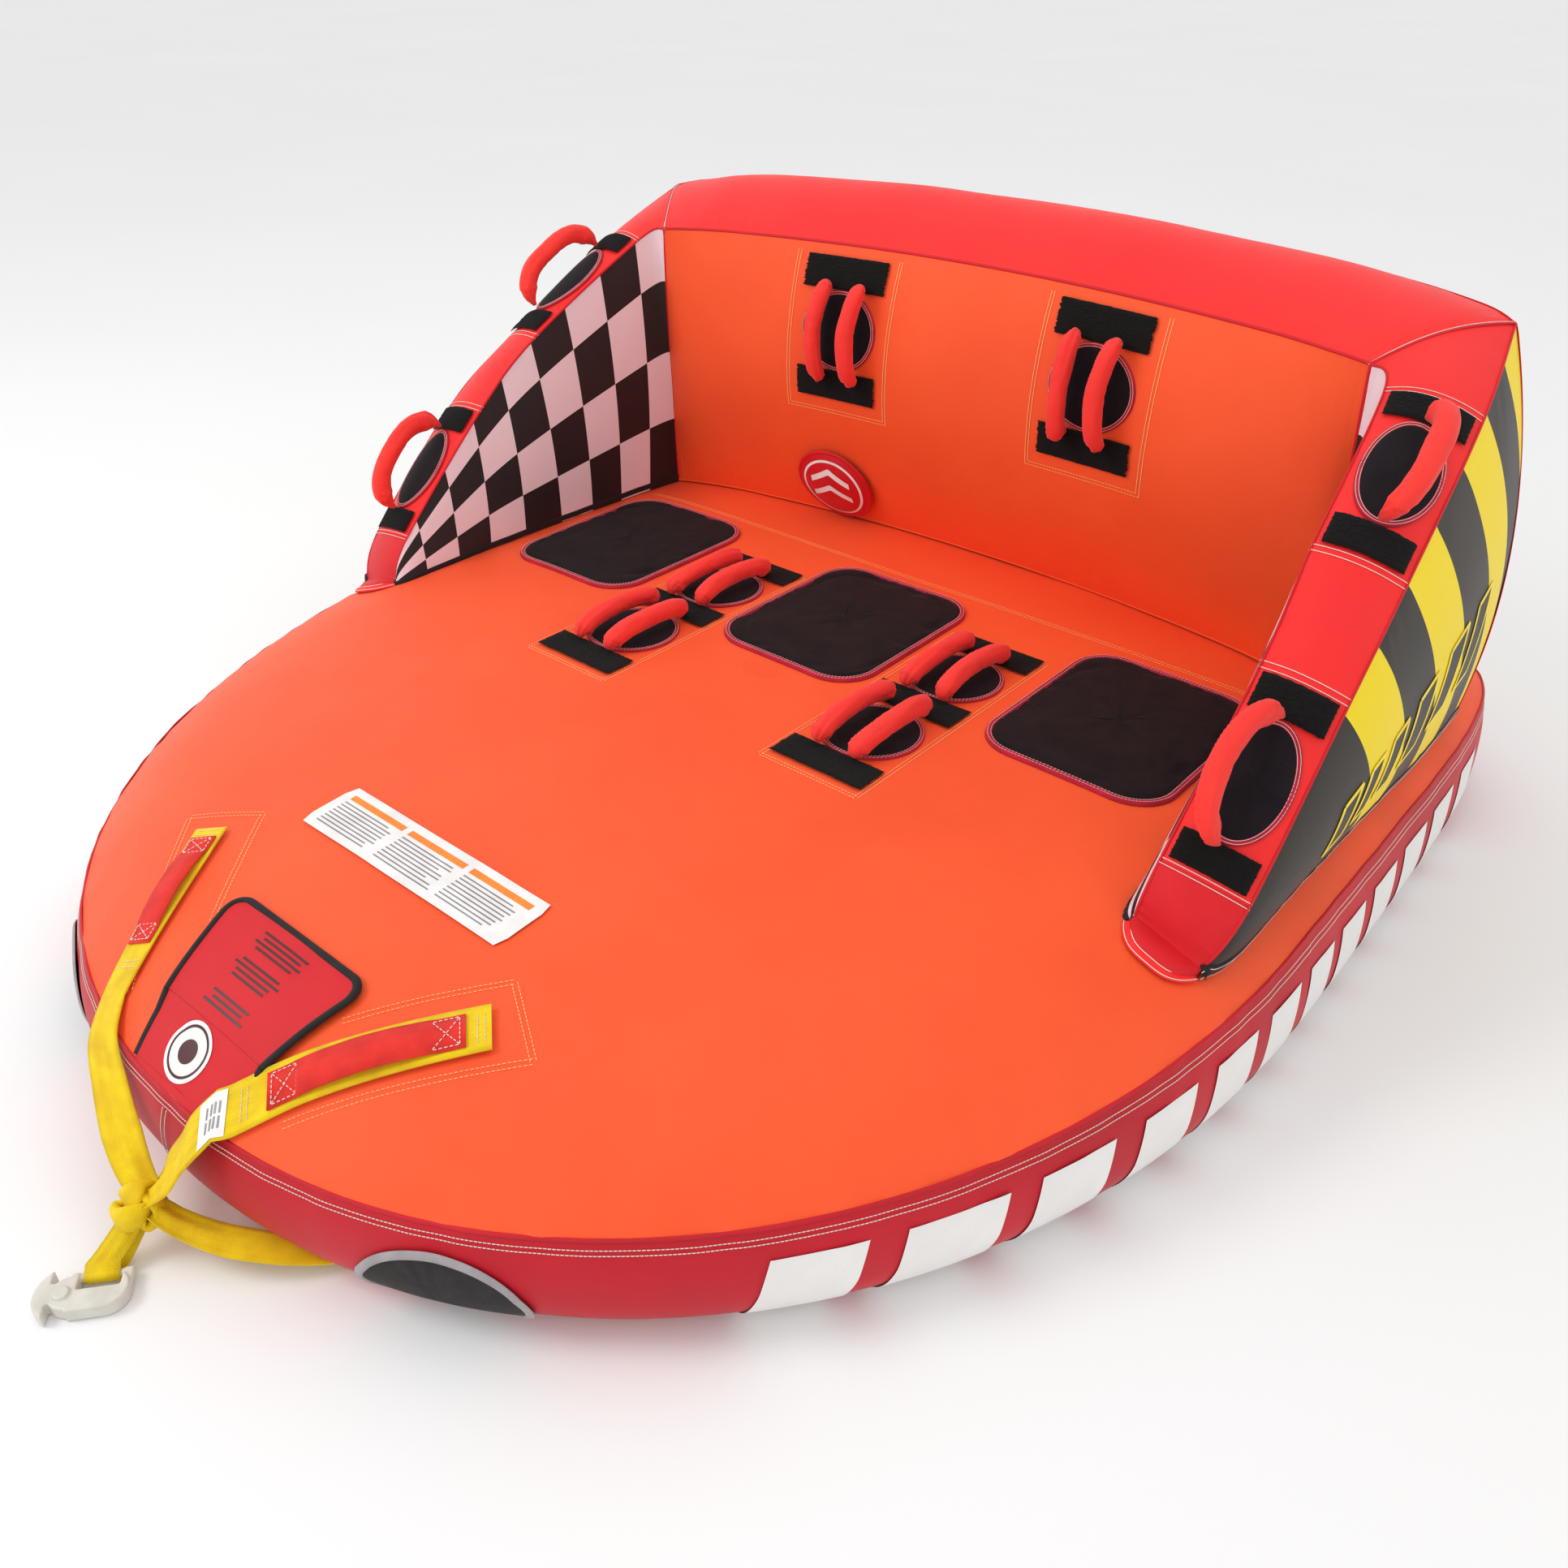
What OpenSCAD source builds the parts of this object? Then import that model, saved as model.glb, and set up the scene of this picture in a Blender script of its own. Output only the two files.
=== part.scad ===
// Three-rider towable deck tube with a wrap-round backrest, soft handles and a webbing tow harness.
// +X is to the right when looking from the nose at the backrest, -Y is the towed nose,
// +Y is the backrest, +Z is up.

/* [Deck] */
// Half width of the deck at its seam
deck_half_w = 1077; // [1000:1:1150]
// Length of the deck ahead of its widest point
deck_front_len = 1277; // [1200:1:1350]
// Length of the deck behind its widest point
deck_rear_len = 1180; // [1120:1:1250]
// Height of the deck's flat top
deck_top_z = 330; // [300:1:360]
// Height of the orange-to-red seam at the sides
seam_side_z = 237; // [220:1:260]
// How much lower the seam runs at the nose
seam_nose_drop = 59; // [30:1:80]
// How far the side band swells outside the seam
band_bulge = 25; // [10:1:35]
// Thickness of the cover cloth panels
cloth_t = 3; // [2:0.5:4]

/* [Riding stations] */
// Distance between neighbouring riders
rider_pitch = 620; // [560:1:660]
// Half width of a seat pad
pad_half_x = 178; // [150:1:200]
// Half length of a seat pad
pad_half_y = 218; // [180:1:240]
// Corner radius of a seat pad
pad_corner_r = 80; // [50:1:100]
// Distance of a handle station from the centre line
station_x = 300; // [280:1:320]
// Radius of a round knuckle guard
guard_r = 92; // [80:1:96]

/* [Handles] */
// Radius of a padded grip
grip_r = 18; // [15:0.5:20]
// Length between a handle's two sewn ends
handle_len = 206; // [190:1:215]
// Rise of a deck handle's grip above the cloth
deck_handle_rise = 40; // [38:1:50]
// Rise of a side handle's grip above the cloth
side_handle_rise = 78; // [60:1:85]

/* [Tow harness] */
// Width of the main tow webbing
tow_web_w = 72; // [60:1:80]
// Thickness of the webbing
web_t = 3; // [2:0.5:4]
// Length of the tow hook
hook_len = 122; // [110:1:130]

/* [Hidden] */

deck_cy = 160;          // where the deck is widest
front_exp = 2.12;       // roundness of the front outline
rear_exp = 7;           // squareness of the rear outline
crown_exp = 8;          // how late the top falls to its seam
front_steps = 26;       // points round the front half of the deck
band_w = 107;           // radial half axis of the band's section
band_mid_z = 95;        // height of the band's widest line
cover_gap = 2;          // gap between a sewn piece and the cloth below
piece_t = 3;            // thickness of a sewn piece
bladder_gap = 7;        // depth of the bladder below the outer surface
bladder_t = 3;          // wall of a bladder
station_half_x = 98;    // half width of a webbing bar
front_bar_y = [-84, -16];
middle_bar_y = [172, 242];
rear_bar_y = [424, 492];
guard_y = [78, 333];
seat_y = 385;
grip_sides = 8;
grip_steps = 14;
flat_deck_r = 0.6;      // inside this radius the deck top is flat enough to be one face

// ---------- surfaces ----------

function lerp(a, b, t) = a + (b - a) * t;

// Distance from the deck's centre to the seam along a direction
function rim_dist(c, s) =
    let(n = s < 0 ? front_exp : rear_exp, len = s < 0 ? deck_front_len : deck_rear_len)
    1 / pow(pow(abs(c) / deck_half_w, n) + pow(abs(s) / len, n), 1 / n);

// Height of the seam along a direction
function seam_z(s) = seam_side_z - seam_nose_drop * max(0, -s);

// Plan point at a fraction of the way to the seam, moved out by a distance
function rim_xy(a, frac, out = 0) =
    let(d = rim_dist(cos(a), sin(a)) * frac + out)
    [d * cos(a), deck_cy + d * sin(a)];

// Height of the deck's top above a plan point
function deck_z(x, y) =
    let(q = norm([x, y - deck_cy]), c = q > 0 ? x / q : 1, s = q > 0 ? (y - deck_cy) / q : 0)
    let(f = min(1, q / rim_dist(c, s)))
    deck_top_z - (deck_top_z - seam_z(s)) * pow(f, crown_exp);

// A point of the side band; ang runs from 40 at the seam to -90 on the floor
function band_pt(a, ang, inset = 0) =
    let(zs = seam_z(sin(a)), up = (zs - band_mid_z) / sin(40), lo = band_mid_z)
    let(w = band_w - inset, h = (ang > 0 ? up : lo) - inset)
    let(p = rim_xy(a, 1, band_bulge - band_w + w * cos(ang)))
    [p[0], p[1], band_mid_z + h * sin(ang)];

// Stations of the wings and the backrest. Each row holds the inner base x y, inner top x y z,
// outer top x y z, outer base x y, the three face bulges, the outward angle and the top tilt.
wing_rows = [
    [885, -75, 892, -66, 318, 1005, -66, 277, 1000, -78, 2, 6, 4, 0, 45],
    [868, -28, 895, -18, 394, 1030, -2, 366, 1020, -10, 4, 10, 12, 0, 45],
    [858, 200, 896, 222, 617, 1028, 236, 592, 1025, 215, 12, 14, 40, 0, 42],
    [848, 395, 879, 380, 743, 1017, 413, 708, 1030, 420, 16, 16, 50, 0, 36],
    [829, 660, 842, 672, 904, 989, 710, 877, 1038, 700, 16, 18, 55, 0, 22],
    [819, 743, 800, 712, 928, 949, 915, 976, 1036, 930, 4, 20, 50, 30, 8]
];
back_half = [
    [819, 743, 800, 712, 928, 949, 915, 976, 1036, 930, 4, 20, 50, 30, 8],
    [750, 760, 735, 722, 934, 880, 950, 990, 940, 1058, 34, 34, 55, 60, 2],
    [600, 790, 600, 742, 942, 690, 972, 1010, 720, 1100, 62, 46, 60, 82, 0],
    [300, 828, 300, 769, 951, 330, 988, 1028, 340, 1124, 76, 50, 60, 88, 0]
];
back_mid = [0, 840, 0, 778, 954, 0, 994, 1034, 0, 1130, 80, 50, 60, 90, 0];
function mirrored(s) = [
    -s[0], s[1], -s[2], s[3], s[4], -s[5], s[6], s[7], -s[8], s[9], s[10], s[11], s[12],
    180 - s[13], s[14]
];
back_rows = concat(back_half, [back_mid], [for (k = [3:-1:0]) mirrored(back_half[k])]);
back_last = len(back_rows) - 1;
wing_last = len(wing_rows) - 1;

// Smooth station between the rows
function row_at(rows, u) =
    let(n = len(rows) - 1, k = max(0, min(floor(u), n - 1)), t = u - k)
    let(p = rows[max(k - 1, 0)], q = rows[k], r = rows[k + 1], s = rows[min(k + 2, n)])
    0.5 * (2 * q + (r - p) * t + (2 * p - 5 * q + 4 * r - s) * t * t
        + (3 * q - p - 3 * r + s) * t * t * t);

// Point on the skin: v is 0 inner base, 1 inner top, 2 outer top, 3 outer base, 4 inner base again
function skin_pt(rows, in_dir, v, u) =
    let(s = row_at(rows, u), ib = [s[0], s[1], deck_z(s[0], s[1]) + cover_gap])
    let(it = [s[2], s[3], s[4]], ot = [s[5], s[6], s[7]])
    let(ob = [s[8], s[9], deck_z(s[8], s[9]) + cover_gap])
    v < 1 ? lerp(ib, it, v) + s[10] * 4 * v * (1 - v) * in_dir
    : v < 2 ? lerp(it, ot, v - 1) + s[11] * 4 * (v - 1) * (2 - v) * [0, -sin(s[14]), cos(s[14])]
    : v < 3 ? lerp(ot, ob, v - 2) + s[12] * 4 * (v - 2) * (3 - v) * [cos(s[13]), sin(s[13]), 0]
    : let(g = lerp(ob, ib, v - 3)) [g[0], g[1], deck_z(g[0], g[1]) + cover_gap];

function surf_base(id, a, b) =
    id == "deck" ? [a, b, deck_z(a, b)]
    : id == "wing" ? skin_pt(wing_rows, [-1, 0, 0], a, b)
    : skin_pt(back_rows, [0, -1, 0], a, b);

function unit(v) = v / norm(v);
step_a = 0.02;
function surf_normal(id, a, b) =
    id == "deck" ? [0, 0, 1]
    : let(da = surf_base(id, a + step_a, b) - surf_base(id, max(a - step_a, 0), b))
      let(db = surf_base(id, a, b + step_a) - surf_base(id, a, b - step_a))
      unit(cross(da, db));

// Point at a height above one of the three surfaces
function surf(id, a, b, h) = surf_base(id, a, b) + h * surf_normal(id, a, b);

// ---------- solid builders ----------

function flat_list(l) = [for (a = l) for (b = a) b];

// Closed solid from a row of loops; caps closes it with fans, otherwise the rails wrap round
module rail_solid(rails, caps = true) {
    n = len(rails[0]);
    m = len(rails);
    last = caps ? m - 2 : m - 1;
    sides = [
        for (k = [0:last]) for (i = [0:n - 1])
            let(j = (i + 1) % n, k2 = (k + 1) % m)
            each [[k * n + i, k2 * n + i, k2 * n + j], [k * n + i, k2 * n + j, k * n + j]]
    ];
    fans = [
        for (i = [0:n - 1])
            let(j = (i + 1) % n)
            each [[m * n, i, j], [m * n + 1, (m - 1) * n + j, (m - 1) * n + i]]
    ];
    if (caps)
        polyhedron(concat(flat_list(rails), [mean(rails[0]), mean(rails[m - 1])]),
            concat(sides, fans), 10);
    else
        polyhedron(flat_list(rails), sides, 10);
}

function mean(l) = [for (k = [0:2]) sum([for (p = l) p[k]]) / len(l)];
function sum(l, i = 0) = i >= len(l) ? 0 : l[i] + sum(l, i + 1);

// Sheet between two heights over a patch of a surface
module sheet(id, a0, a1, b0, b1, na, nb, lo, hi) {
    pts = [
        for (h = [lo, hi]) for (i = [0:na]) for (j = [0:nb])
            surf(id, lerp(a0, a1, i / na), lerp(b0, b1, j / nb), h)
    ];
    grid_solid(pts, na, nb);
}

module grid_solid(pts, na, nb) {
    w = nb + 1;
    top = (na + 1) * w;
    edge = concat(
        [for (i = [0:na]) i * w], [for (j = [1:nb]) na * w + j],
        [for (i = [na - 1:-1:0]) i * w + nb], [for (j = [nb - 1:-1:1]) j]
    );
    ne = len(edge);
    faces = concat(
        [for (i = [0:na - 1]) for (j = [0:nb - 1]) let(p = i * w + j)
            each [[top + p, top + p + 1, top + p + w + 1], [top + p, top + p + w + 1, top + p + w],
                [p, p + w, p + w + 1], [p, p + w + 1, p + 1]]],
        [for (k = [0:ne - 1]) let(p = edge[k], q = edge[(k + 1) % ne])
            each [[p, top + p, top + q], [p, top + q, q]]]
    );
    polyhedron(pts, faces, 10);
}

// Loops in a surface's own two coordinates
function oval(ca, cb, ra, rb, n = 22) =
    [for (i = [0:n - 1]) [ca + ra * cos(360 * i / n), cb + rb * sin(360 * i / n)]];
function round_rect(ca, cb, ha, hb, r, n = 5) = [
    for (q = [[1, 1, 0], [-1, 1, 90], [-1, -1, 180], [1, -1, 270]]) for (i = [0:n])
        let(t = q[2] + 90 * i / n)
        [ca + q[0] * (ha - r) + r * cos(t), cb + q[1] * (hb - r) + r * sin(t)]
];
function lifted(id, loop, h) = [for (p = loop) surf(id, p[0], p[1], h)];
function shrunk(loop, f) =
    let(c = [sum([for (p = loop) p[0]]), sum([for (p = loop) p[1]])] / len(loop))
    [for (p = loop) c + (p - c) * f];

// Filled patch over a loop, with an optional dome
module patch(id, loop, lo, hi, dome = 0) {
    f = [1, 0.6];
    rails = concat(
        [for (k = [1, 0]) lifted(id, shrunk(loop, f[k]), lo + dome * (1 - f[k] * f[k]))],
        [for (k = [0, 1]) lifted(id, shrunk(loop, f[k]), hi + dome * (1 - f[k] * f[k]))]
    );
    rail_solid(rails);
}

// Band between two loops
module ring_patch(id, outer, inner, lo, hi) {
    rail_solid([
        lifted(id, inner, lo), lifted(id, outer, lo), lifted(id, outer, hi), lifted(id, inner, hi)
    ], false);
}

// Flat webbing along a path; side is the direction of its width at each point
module ribbon(path, side, w, t) {
    n = len(path);
    dirs = [for (k = [0:n - 1]) unit(path[min(k + 1, n - 1)] - path[max(k - 1, 0)])];
    pts = [
        for (h = [0, t]) for (k = [0:n - 1]) for (s = [-0.5, 0.5])
            path[k] + side[k] * w * s + unit(cross(side[k], dirs[k])) * h
    ];
    grid_solid(pts, n - 1, 1);
}

// ---------- deck ----------

// Directions round the deck, closer together at the square rear corners
corner_angles = [0, 10, 19, 27, 33, 38, 42, 45, 48, 51, 54, 57, 61, 66, 73, 81];
angles = concat(
    corner_angles, [90], [for (k = [len(corner_angles) - 1:-1:0]) 180 - corner_angles[k]],
    [for (i = [1:front_steps - 1]) 180 + 180 * i / front_steps]
);
top_fracs = [0.35, flat_deck_r, 0.74, 0.84, 0.91, 0.96, 0.995];
function top_ring(f, h) = [for (a = angles) let(p = rim_xy(a, f)) [p[0], p[1], deck_z(p[0], p[1]) + h]];
band_angs = [38, 18, 0, -22, -45, -68, -88];

module deck_top_panel() {
    color("orangered")
        rail_solid(concat([for (f = top_fracs) top_ring(f, -cloth_t)],
            [for (k = [len(top_fracs) - 1:-1:0]) top_ring(top_fracs[k], 0)]));
}

module side_band() {
    color("crimson")
        rail_solid(concat(
            [for (g = band_angs) [for (a = angles) band_pt(a, g, cloth_t)]],
            [for (k = [len(band_angs) - 1:-1:0]) [for (a = angles) band_pt(a, band_angs[k])]]
        ), false);
}

module bottom_panel() {
    floor_ring = [for (a = angles) band_pt(a, -90, 0)];
    color("black")
        rail_solid([for (z = [0, cloth_t]) [
            for (p = floor_ring) [p[0] * 0.99, deck_cy + (p[1] - deck_cy) * 0.99, z]
        ]]);
}

// Rings of the deck's air chamber, pulled in from the outer surface by a gap
function chamber(g) = concat(
    [[for (a = angles) let(p = band_pt(a, -80, g + 14)) [p[0], p[1], cloth_t + g]]],
    [for (k = [4:-1:1]) [for (a = angles) band_pt(a, band_angs[k], g)]],
    [[for (a = angles) let(p = rim_xy(a, 1, -g - 12)) [p[0], p[1], deck_z(p[0], p[1]) - g - 6]]],
    [for (k = [4:-1:1]) top_ring(top_fracs[k] - 0.01, -g - 1)]
);

module deck_bladder() {
    color("lightgrey") difference() {
        rail_solid(chamber(bladder_gap));
        rail_solid(chamber(bladder_gap + bladder_t));
    }
}

// ---------- wings and backrest ----------

module inner_panel(id, u0, u1, nb) {
    sheet(id, 0.004, 0.985, u0, u1, 6, nb, -cloth_t, 0);
}

module top_strip(id, last, nb) {
    sheet(id, 1.015, 1.985, 0.02, last - 0.02, 5, nb, -cloth_t, 0);
}

module outer_panel(id, last, nb) {
    sheet(id, 2.015, 2.996, 0.02, last - 0.02, 6, nb, -cloth_t, 0);
}

// Air chamber of a wing or the backrest: loops round the section, pulled in from the cloth
section_vs = [
    0.05, 0.25, 0.5, 0.75, 0.94, 1.12, 1.5, 1.88, 2.05, 2.28, 2.55, 2.8, 2.97, 3.2, 3.5, 3.8
];
function air_loop(id, u, g, wall) = [
    for (v = section_vs)
        v < 3 ? surf(id, v, u, -g - wall)
        : let(p = surf_base(id, v, u)) [p[0], p[1], p[2] + 1 + wall]
];
module air_chamber(id, us, g) {
    n = len(us);
    difference() {
        rail_solid([for (u = us) air_loop(id, u, g, 0)]);
        rail_solid([for (k = [0:n - 1])
            air_loop(id, us[k] + (k == 0 ? 0.03 : k == n - 1 ? -0.03 : 0), g, bladder_t)]);
    }
}

module back_front_panel() { color("orangered") inner_panel("back", 0.09, back_last - 0.09, 24); }
module back_top_strip() { color("crimson") top_strip("back", back_last, 24); }
module back_rear_panel() { color("dimgray") outer_panel("back", back_last, 24); }
back_us = [for (k = [0:16]) 0.12 + (back_last - 0.24) * k / 16];
module back_bladder() { color("lightgrey") air_chamber("back", back_us, bladder_gap); }

module wing_inner() { color("white") inner_panel("wing", 0.02, wing_last - 0.13, 12); }
module wing_strip() { color("crimson") top_strip("wing", wing_last, 12); }
module wing_outer() { color("gold") outer_panel("wing", wing_last, 12); }
wing_us = [0.9, 1.2, 1.7, 2.2, 2.8, 3.4, 4.0, 4.5, 4.8];
module wing_bladder() { color("lightgrey") air_chamber("wing", wing_us, bladder_gap + 5); }

module wing_inner_right() wing_inner();
module wing_strip_right() wing_strip();
module wing_outer_right() wing_outer();
module wing_bladder_right() wing_bladder();
module wing_inner_left() mirror([1, 0, 0]) wing_inner();
module wing_strip_left() mirror([1, 0, 0]) wing_strip();
module wing_outer_left() mirror([1, 0, 0]) wing_outer();
module wing_bladder_left() mirror([1, 0, 0]) wing_bladder();

// ---------- sewn pieces ----------

pad_xs = [-rider_pitch, 0, rider_pitch];
sides = [-1, 1];

// Coordinates on the backrest and the wing strips
back_us_mid = [5, 3];          // the two stations, left and right
back_u_half = 0.327;           // half width of a bar
back_bars_v = [[0.50, 0.60], [0.862, 0.962]];
back_guard_v = 0.731;
back_guard_rv = 0.128;
back_guard_ru = 0.30;
strip_bars_u = [[1.04, 1.22], [1.78, 1.96], [3.04, 3.22], [3.78, 3.96]];
strip_guard_u = [1.5, 3.5];
strip_guard_ru = 0.27;
strip_guard_rv = 0.40;

module seat_pads() {
    color("black") for (x = pad_xs)
        patch("deck", round_rect(x, seat_y, pad_half_x - 9, pad_half_y - 9, pad_corner_r - 9),
            cover_gap, cover_gap + piece_t);
}

module pad_bindings() {
    color("deeppink") for (x = pad_xs)
        ring_patch("deck", round_rect(x, seat_y, pad_half_x, pad_half_y, pad_corner_r),
            round_rect(x, seat_y, pad_half_x - 8, pad_half_y - 8, pad_corner_r - 8),
            cover_gap, cover_gap + piece_t);
}

// Every knuckle guard as [surface, centre a, centre b, radius a, radius b, mirrored]
guards = concat(
    [for (s = sides) for (y = guard_y) ["deck", s * station_x, y, guard_r, guard_r, 0]],
    [for (u = back_us_mid) ["back", back_guard_v, u, back_guard_rv, back_guard_ru, 0]],
    [for (m = [0, 1]) for (u = strip_guard_u) ["wing", 1.5, u, strip_guard_rv, strip_guard_ru, m]]
);

module on_side(m) { if (m) mirror([1, 0, 0]) children(); else children(); }

module knuckle_guards() {
    color("black") for (g = guards) on_side(g[5])
        patch(g[0], oval(g[1], g[2], g[3] * 0.92, g[4] * 0.92), cover_gap, cover_gap + piece_t);
}

module guard_bindings() {
    color("deeppink") for (g = guards) on_side(g[5])
        ring_patch(g[0], oval(g[1], g[2], g[3], g[4]), oval(g[1], g[2], g[3] * 0.93, g[4] * 0.93),
            cover_gap, cover_gap + piece_t);
}

bar_lo = cover_gap + piece_t + 1;
bar_hi = cover_gap + 2 * piece_t;
module webbing_bars() {
    color("black") {
        for (s = sides) for (b = [front_bar_y, middle_bar_y, rear_bar_y])
            sheet("deck", s * station_x - station_half_x, s * station_x + station_half_x,
                b[0], b[1], 2, 2, bar_lo, bar_hi);
        for (u = back_us_mid) for (b = back_bars_v)
            sheet("back", b[0], b[1], u - back_u_half, u + back_u_half, 2, 4, bar_lo, bar_hi);
        for (m = [0, 1]) on_side(m) for (b = strip_bars_u)
            sheet("wing", 1.08, 1.92, b[0], b[1], 4, 2, bar_lo, bar_hi);
    }
}

// ---------- handles ----------

foot_h = 13;    // height of a handle's sewn ends above the cloth
foot_r = 5;     // thickness of a handle's sewn ends

// Padded handle: p is the point on the cloth, dir its length, up the way it stands
module handle(p, dir, up, len, rise) {
    side = unit(cross(dir, up));
    ts = [for (k = [0:grip_steps]) -cos(180 * k / grip_steps)];
    arch = [
        for (t = ts)
            let(h = foot_h + (rise - foot_h) * pow(max(0, 1 - pow(abs(t), 3)), 0.5))
            p + dir * len * 0.5 * t + up * h
    ];
    n = len(arch);
    rails = [
        for (k = [0:n - 1])
            let(d = unit(arch[min(k + 1, n - 1)] - arch[max(k - 1, 0)]))
            let(e = unit(cross(side, d)))
            let(r = (k == 0 || k == n - 1) ? foot_r : (k == 1 || k == n - 2) ? grip_r * 0.6 : grip_r)
            [for (i = [0:grip_sides - 1]) let(q = 360 * i / grip_sides)
                arch[k] + side * r * cos(q) + e * r * sin(q)]
    ];
    rail_solid(rails);
}

deck_pair = 40;   // distance of a deck handle from its station's centre line
module deck_handle(k) {
    s = k > 4 ? 1 : -1;
    i = (k - 1) % 4;
    x = s * station_x + (i % 2 == 0 ? -deck_pair : deck_pair);
    y = guard_y[i < 2 ? 0 : 1];
    color("tomato") handle([x, y, deck_z(x, y)], [0, 1, 0], [0, 0, 1], handle_len, deck_handle_rise);
}

// Sideways lean of the four backrest handles, in degrees towards the left
back_lean = [26, 26, 6, 12];
back_pair_u = 0.14;
module back_handle(k) {
    u = back_us_mid[k < 3 ? 0 : 1] + (k % 2 == 1 ? back_pair_u : -back_pair_u);
    up0 = surf_normal("back", back_guard_v, u);
    dir = unit(surf_base("back", back_guard_v + 0.12, u) - surf_base("back", back_guard_v - 0.12, u));
    out = unit(cross(up0, dir));
    up = up0 * cos(back_lean[k - 1]) - out * sin(back_lean[k - 1]);
    color("tomato") handle(surf_base("back", back_guard_v, u), dir, up, 190, deck_handle_rise + 6);
}

// Lean of the four wing handles about their own length, in degrees; the first leans inwards
wing_lean = [-25, 15, 0, 0];
module wing_handle(k) {
    u = strip_guard_u[(k - 1) % 2];
    up0 = surf_normal("wing", 1.5, u);
    dir = unit(surf_base("wing", 1.5, u + 0.3) - surf_base("wing", 1.5, u - 0.3));
    square = unit(up0 - dir * (up0 * dir));
    up = square * cos(wing_lean[k - 1]) + cross(dir, square) * sin(wing_lean[k - 1]);
    color("tomato") on_side(k > 2 ? 1 : 0)
        handle(surf_base("wing", 1.5, u), dir, up, handle_len, side_handle_rise);
}

// ---------- tow harness ----------

knot = [44, -1198, 78];
strap_lift = 6;
// Plan route of each tow strap over the deck, from its sewn end to the seam at the nose
right_route = [[349, -817], [300, -875], [245, -940], [190, -1005], [140, -1065], [104, -1103]];
left_route = [[-349, -817], [-310, -880], [-272, -950], [-243, -1015], [-220, -1078]];
right_drop = [[93, -1138, 175], [79, -1160, 140], [64, -1182, 108]];
left_drop = [[-176, -1122, 178], [-110, -1152, 154], [-50, -1176, 124], [2, -1192, 98]];

// Points halfway between a route's points, with the points themselves
function dense(route) = [
    for (k = [0:0.5:len(route) - 1])
        let(i = min(floor(k), len(route) - 2)) lerp(route[i], route[i + 1], k - i)
];
// Level width directions, square to the route
function level_sides(path) = [
    for (k = [0:len(path) - 1])
        let(d = path[min(k + 1, len(path) - 1)] - path[max(k - 1, 0)])
        unit([d[1], -d[0], 0])
];
// Webbing lies on the deck: it slopes with the deck across its width and clears its crown
function deck_under(p, side, d) = deck_z(p[0] + side[0] * d, p[1] + side[1] * d);
function cross_slope(p, side, w) = (deck_under(p, side, w / 2) - deck_under(p, side, -w / 2)) / w;
function lie_z(p, side, w) =
    max([for (f = [-0.5:0.25:0.5]) deck_under(p, side, f * w) - cross_slope(p, side, w) * f * w]);
function laid(route, w, lift) =
    let(flat = [for (p = dense(route)) [p[0], p[1], 0]], sides = level_sides(flat))
    [for (k = [0:len(flat) - 1]) [flat[k][0], flat[k][1], lie_z(flat[k], sides[k], w) + lift]];
function laid_sides(route, w) =
    let(flat = [for (p = dense(route)) [p[0], p[1], 0]], sides = level_sides(flat))
    [for (k = [0:len(flat) - 1])
        unit([sides[k][0], sides[k][1], cross_slope(flat[k], sides[k], w)])];

// Each strap as [path, width directions]: along the deck, then free from the seam to the knot
function strap_run(route, drop, w) =
    let(deck_path = laid(route, w, strap_lift), deck_sides = laid_sides(route, w))
    let(last = deck_sides[len(deck_sides) - 1], free = level_sides(concat(drop, [knot])))
    [concat(deck_path, drop), concat(deck_sides, [
        for (k = [0:len(drop) - 1]) unit(lerp(last, free[k], (k + 1) / (len(drop) + 1)))
    ])];
right_run = strap_run(right_route, right_drop, tow_web_w);
left_run = strap_run(left_route, left_drop, tow_web_w - 16);
module tow_strap_right() { color("yellow") ribbon(right_run[0], right_run[1], tow_web_w, web_t); }
module tow_strap_left() { color("yellow") ribbon(left_run[0], left_run[1], tow_web_w - 16, web_t); }

module tow_strap_bottom() {
    path = [[190, -1142, 40], [158, -1160, 44], [124, -1178, 52], [92, -1192, 62], [72, -1200, 70]];
    color("yellow") ribbon(path, level_sides(path), 50, web_t);
}

// Sleeves stand a little off the webbing between their two sewn ends
sleeve_from = 1;
sleeve_steps = 6;
module sleeve(run, w) {
    ks = [sleeve_from:sleeve_from + sleeve_steps];
    path = [for (k = ks)
        let(d = unit(run[0][k + 1] - run[0][k - 1]), hump = sin(180 * (k - sleeve_from) / sleeve_steps))
        run[0][k] + unit(cross(run[1][k], d)) * (web_t + 1.5 + 9 * hump)];
    ribbon(path, [for (k = ks) run[1][k]], w, web_t);
}
module strap_sleeves() { color("crimson") { sleeve(right_run, 52); sleeve(left_run, 48); } }

module tow_knot() {
    color("gold") hull() for (p = [[-4, 6, -12, 20], [8, -14, 2, 22], [22, 6, -22, 18], [10, -30, -20, 14]])
        translate(knot + [p[0] - 12, p[1] - 8, p[2]]) sphere(r = p[3], $fn = 14);
}

// Hook frame: x runs from the rear end to the tip, the webbing side is -y
hook_rear = [101, -1272, 0];
hook_turn = -130;
hook_bar_y = -24;
hook_bar_z = 12;
hook_bar_r = 6;
hook_t = 22;
module in_hook_frame() { translate(hook_rear) rotate([0, 0, hook_turn]) children(); }

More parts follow.
